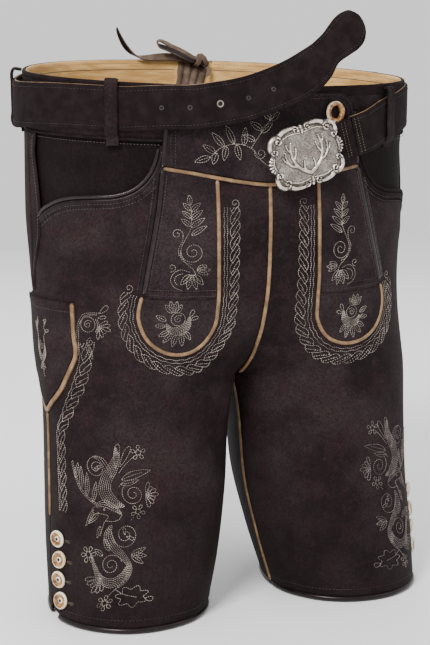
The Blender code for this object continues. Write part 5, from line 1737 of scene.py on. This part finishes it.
# dark stitches along the top of the lining and its level seam, seen from inside
def makeLiningRows():
    for side, tag in sides:
        end = float(backAt(6) + backShift(side, 6)) - back["notch"] / 2 - 6
        s = np.linspace(4, end, 160)
        line, out = place(side, s, 3.4, liningLift)
        stitchLines("liningRow_" + tag, [line], [-out], foldThread, "lining", "lining")
        line, out = place(side, s, 8.6, liningLift)
        sweep("liningSeam_" + tag, line, -out, section("round", 0.7, 0.35, 6), foldThread,
              slot="lining")


makeLiningRows()


# buckle: relief over the plate's own plane, across and up, in millimetres; every raised line
# has points, radius at start and end, and height
frameQuarter = [
    # bar beside the middle with a curl at its inner end
    ([(6.6, 23.9), (12, 23.9), (16.5, 23.1), (20.4, 21.2)], 1.3, 2.1, 1.6),
    (spiral(5.6, 21.6, 3.2, 0.5, 70, 1.25), 0.62, 0.55, 1.9),
    # thin inner line of the field's rim
    ([(2.0, 18.6), (9, 19.4), (15, 18.9), (19.0, 17.2)], 0.5, 0.5, 0.8),
    # corner scroll with a curl at each end
    ([(22.8, 20.6), (26.4, 20.2), (29.4, 17.6), (30.6, 13.6), (30.4, 10.8)], 1.9, 1.8, 1.8),
    (spiral(22.8, 17.0, 3.5, 0.6, 85, 1.2), 0.8, 0.7, 1.9),
    (spiral(27.4, 9.8, 3.0, 0.6, 15, -1.2), 0.75, 0.65, 1.7),
]
# beam and tines of the right antler
antler = [
    ([(0.4, -14.2), (4, -12.2), (8.4, -9.0), (12.0, -4.4), (14.0, 1.6), (14.0, 8.0),
      (12.6, 13.4)], 1.65, 0.62, 1.5),
    ([(4.2, -12.2), (5.0, -8.0), (4.2, -3.6)], 1.0, 0.5, 1.2),
    ([(10.8, -6.4), (15.0, -5.2), (18.2, -1.4), (19.4, 3.4), (19.2, 6.8)], 1.15, 0.5, 1.3),
    ([(17.4, -2.6), (21.0, 0.6), (22.4, 4.0)], 0.8, 0.45, 1.1),
    ([(13.4, -1.4), (10.4, 3.4), (9.2, 8.2)], 0.9, 0.45, 1.2),
    ([(14.1, 5.4), (16.8, 9.6), (17.0, 13.0)], 0.8, 0.45, 1.1),
]


# each line with its mirror in one direction
def mirrored(group, way):
    both = []
    for points, *sizes in group:
        points = np.asarray(points, float)
        points = smoothPath(points, 0.45) if len(points) < 10 else points
        both += [(points, *sizes), (points * way, *sizes)]
    return both


def buckleLines():
    half = mirrored(frameQuarter, [1, -1])
    # shell at the side
    for angle in (-62, -38, -13, 13, 38, 62):
        a = math.radians(angle)
        half += [([(29.0 + 1.2 * math.cos(a), 6.2 * math.sin(a) * 0.5),
                   (29.0 + 5.3 * math.cos(a), 6.6 * math.sin(a))], 0.45, 0.95, 1.1)]
    half += [(arc(28.4, 0, 2.0, -90, 90, 2.4), 0.5, 0.5, 0.9)]
    stems = [(np.array([(0, 18.2), (0, 22.4), (0, 23.9)]), 0.7, 1.1, 1.6)]
    stems += [(stems[0][0] * [1, -1], 0.7, 1.1, 1.6)]
    return mirrored(half, [-1, 1]) + stems, mirrored(antler, [-1, 1])


# height above the ground and how dark the metal is: each line is a half-round ridge,
# height x sqrt(1 - (distance / radius)^2), with a dark border just outside it; joined lines
# melt into each other as the cube root of their cubes' sum, with no border inside
def relief(points, ridges, joined=False):
    height, dark = np.zeros(len(points)), np.zeros(len(points))
    inside = np.full(len(points), -9.0)
    for line, r0, r1, top in ridges:
        a, b = line[:-1], line[1:]
        ab = b - a
        near = (np.abs(points - line.mean(0)) < np.ptp(line, axis=0) / 2 + 4.0).all(1)
        p = points[near][:, None]
        t = np.clip(((p - a) * ab).sum(-1) / np.maximum((ab**2).sum(-1), 1e-9), 0, 1)
        gap = np.linalg.norm(p - a - t[..., None] * ab, axis=-1)
        k = gap.argmin(1)
        share = (k + t[np.arange(len(k)), k]) / len(a)
        gap, radius = gap.min(1), r0 + (r1 - r0) * share
        ridge = top * np.sqrt(np.clip(1 - (gap / radius) ** 2, 0, 1))
        border = np.where(gap > radius * 0.86,
                          np.exp(-(np.maximum(gap - radius - 0.15, 0)
                                   / (0.85 if joined else 0.62)) ** 2), 0)
        height[near] = ((height[near] ** 3 + ridge ** 3) ** (1 / 3) if joined
                        else np.maximum(height[near], ridge))
        dark[near] = np.where(ridge > top * 0.5, 0, np.maximum(dark[near], border))
        inside[near] = np.maximum(inside[near], radius - gap)
    if joined:
        dark = np.where(inside > 0.05, 0, dark)
    return height, dark, inside


# 1 on the rounded oval |x/a|^power + |y/b|^power = 1, less inside it
def oval(p, a, b, power):
    return (np.abs(p[:, 0] / a) ** power + np.abs(p[:, 1] / b) ** power) ** (1 / power)


def makeBuckle():
    frameLines, antlers = buckleLines()
    # outline: the furthest point of the frame in each direction, or the flange between
    points, rim = buckle["points"], buckle["rim"]
    angle = np.linspace(0, 2 * math.pi, points, endpoint=False)
    ray = pair(np.cos(angle), np.sin(angle))
    flange = 1 / oval(ray, *buckle["flange"])
    reach = np.linspace(0.82, 1.3, 64)
    grid = ray[:, None] * (flange[:, None] * reach)[..., None]
    inside = relief(grid.reshape(-1, 2), frameLines)[2].reshape(points, -1)
    outer = flange * np.maximum(1.0, np.where(inside > -0.15, reach, 0).max(1))
    outer = (np.roll(outer, 1) + 2 * outer + np.roll(outer, -1)) / 4
    limit = np.array([buckle["width"] / 2, buckle["height"] / 2])
    outer = outer / max(1.0, (np.abs(outer[:, None] * ray).max(0) / limit).max())
    count, last = buckle["rings"]
    shares = np.concatenate([np.linspace(0.01, last, count), buckle["rimRings"]])
    p = ((shares[:, None] * outer)[..., None] * ray).reshape(-1, 2)
    height, dark, _ = relief(p, frameLines)
    height2, dark2, _ = relief(p, antlers, True)
    height = np.maximum(height, height2)
    dark = np.maximum(dark * (height2 < 0.1), dark2 + 0.2 * (height2 > 0.1))
    r = oval(p, *buckle["field"])
    field = np.where(r < 1, 0.9 + 1.1 * (1 - r**2), 0.9 - 0.8 * np.clip((r - 1) / 0.05, 0, 1))
    dark = np.maximum(dark, np.exp(-((r - 1.02) / 0.022) ** 2))
    # the ground holds more tarnish than the raised lines; it thins towards the field's middle, a
    # painted highlight there
    ground = np.where(r < 1.02, 0.46 + 0.10 * r, 0.66) * (1 - np.clip(height / 0.5, 0, 1))
    dark = np.maximum(dark, ground)
    h = field + height
    # the rim rounds off to the back
    edge = np.clip((np.repeat(shares, points) - rim) / (1 - rim), 0, 1)
    h = h - (h + buckle["back"] - 0.5) * edge ** 3
    base = buckle["centre"] + across * p[:, :1] + upward * p[:, 1:]
    front = (base + outward * h[:, None]).reshape(len(shares), points, 3)
    behind = (base - outward * buckle["back"]).reshape(len(shares), points, 3)[[-2, -30, 0]]
    piece = ringPiece("buckleFace", np.concatenate([front, behind]), silver, body="buckle",
                      node="buckle_plate")
    giveAttribute(piece, "tarnish",
                  np.clip(np.concatenate([dark, np.full(3 * points, 0.6)]), 0, 1))
    # bar behind the plate, between two lugs
    half = upward * (fold["half"] + 2.2)
    line = smoothPath([barMiddle - half, barMiddle, barMiddle + half], 2.0)
    sweep("buckleBar", line, np.tile(np.cross(upward, outward), (len(line), 1)),
          section("round", 2 * buckle["rod"], 2 * buckle["rod"], 14), silver, body="buckle",
          node="buckle_bar")
    for way, tag in ((1, "upper"), (-1, "lower")):
        foot = barMiddle + half * 0.94 * way
        end = foot + outward * (buckle["stand"] - buckle["back"] - 0.3) - across * 8.5
        line = smoothPath([foot, foot * 0.5 + end * 0.5, end], 1.0)
        sweep("buckleLug_" + tag, line, np.tile(upward, (len(line), 1)),
              section("flat", 4.0, 2.6), silver, taper=False, body="buckle")


makeBuckle()
print("buckle made")


# floor and light
# half width and height of the floor, brightness of the white round it, and the lamps: place,
# power and size
studio = {"half": 3.0, "ground": -0.4492, "white": 1.05,
          "lamps": {"key": ((-1.5, -1.4, 1.4), 85, 0.8), "fill": ((1.5, -1.3, 0.9), 8, 1.4),
                    "rim": ((0.4, 1.6, 1.6), 25, 1.2)}, "aim": (0, 0, -0.2)}


def makeStage():
    size, z = studio["half"], studio["ground"]
    mesh = bpy.data.meshes.new("floor")
    mesh.from_pydata([(-size, -size, z), (size, -size, z), (size, size, z), (-size, size, z)], [],
                     [(0, 1, 2, 3)])
    floor = bpy.data.objects.new("floor", mesh)
    bpy.context.scene.collection.objects.link(floor)
    paper = Look("paper", (0.9, 0.9, 0.9), 0.9)
    mesh.materials.append(paper.material)
    world = bpy.data.worlds.new("studio")
    world.use_nodes = True
    sky = world.node_tree.nodes["Background"]
    sky.inputs[0].default_value = (1.0, 1.0, 1.0, 1.0)
    sky.inputs[1].default_value = studio["white"]
    bpy.context.scene.world = world
    for name, (spot, power, size) in studio["lamps"].items():
        lamp = bpy.data.objects.new(name, bpy.data.lights.new(name, "AREA"))
        lamp.data.energy, lamp.data.size = power, size
        lamp.location = spot
        aim = Vector(studio["aim"]) - Vector(spot)
        lamp.rotation_euler = aim.to_track_quat("-Z", "Y").to_euler()
        bpy.context.scene.collection.objects.link(lamp)


makeStage()


bpy.context.view_layer.update()
print("scene ready")
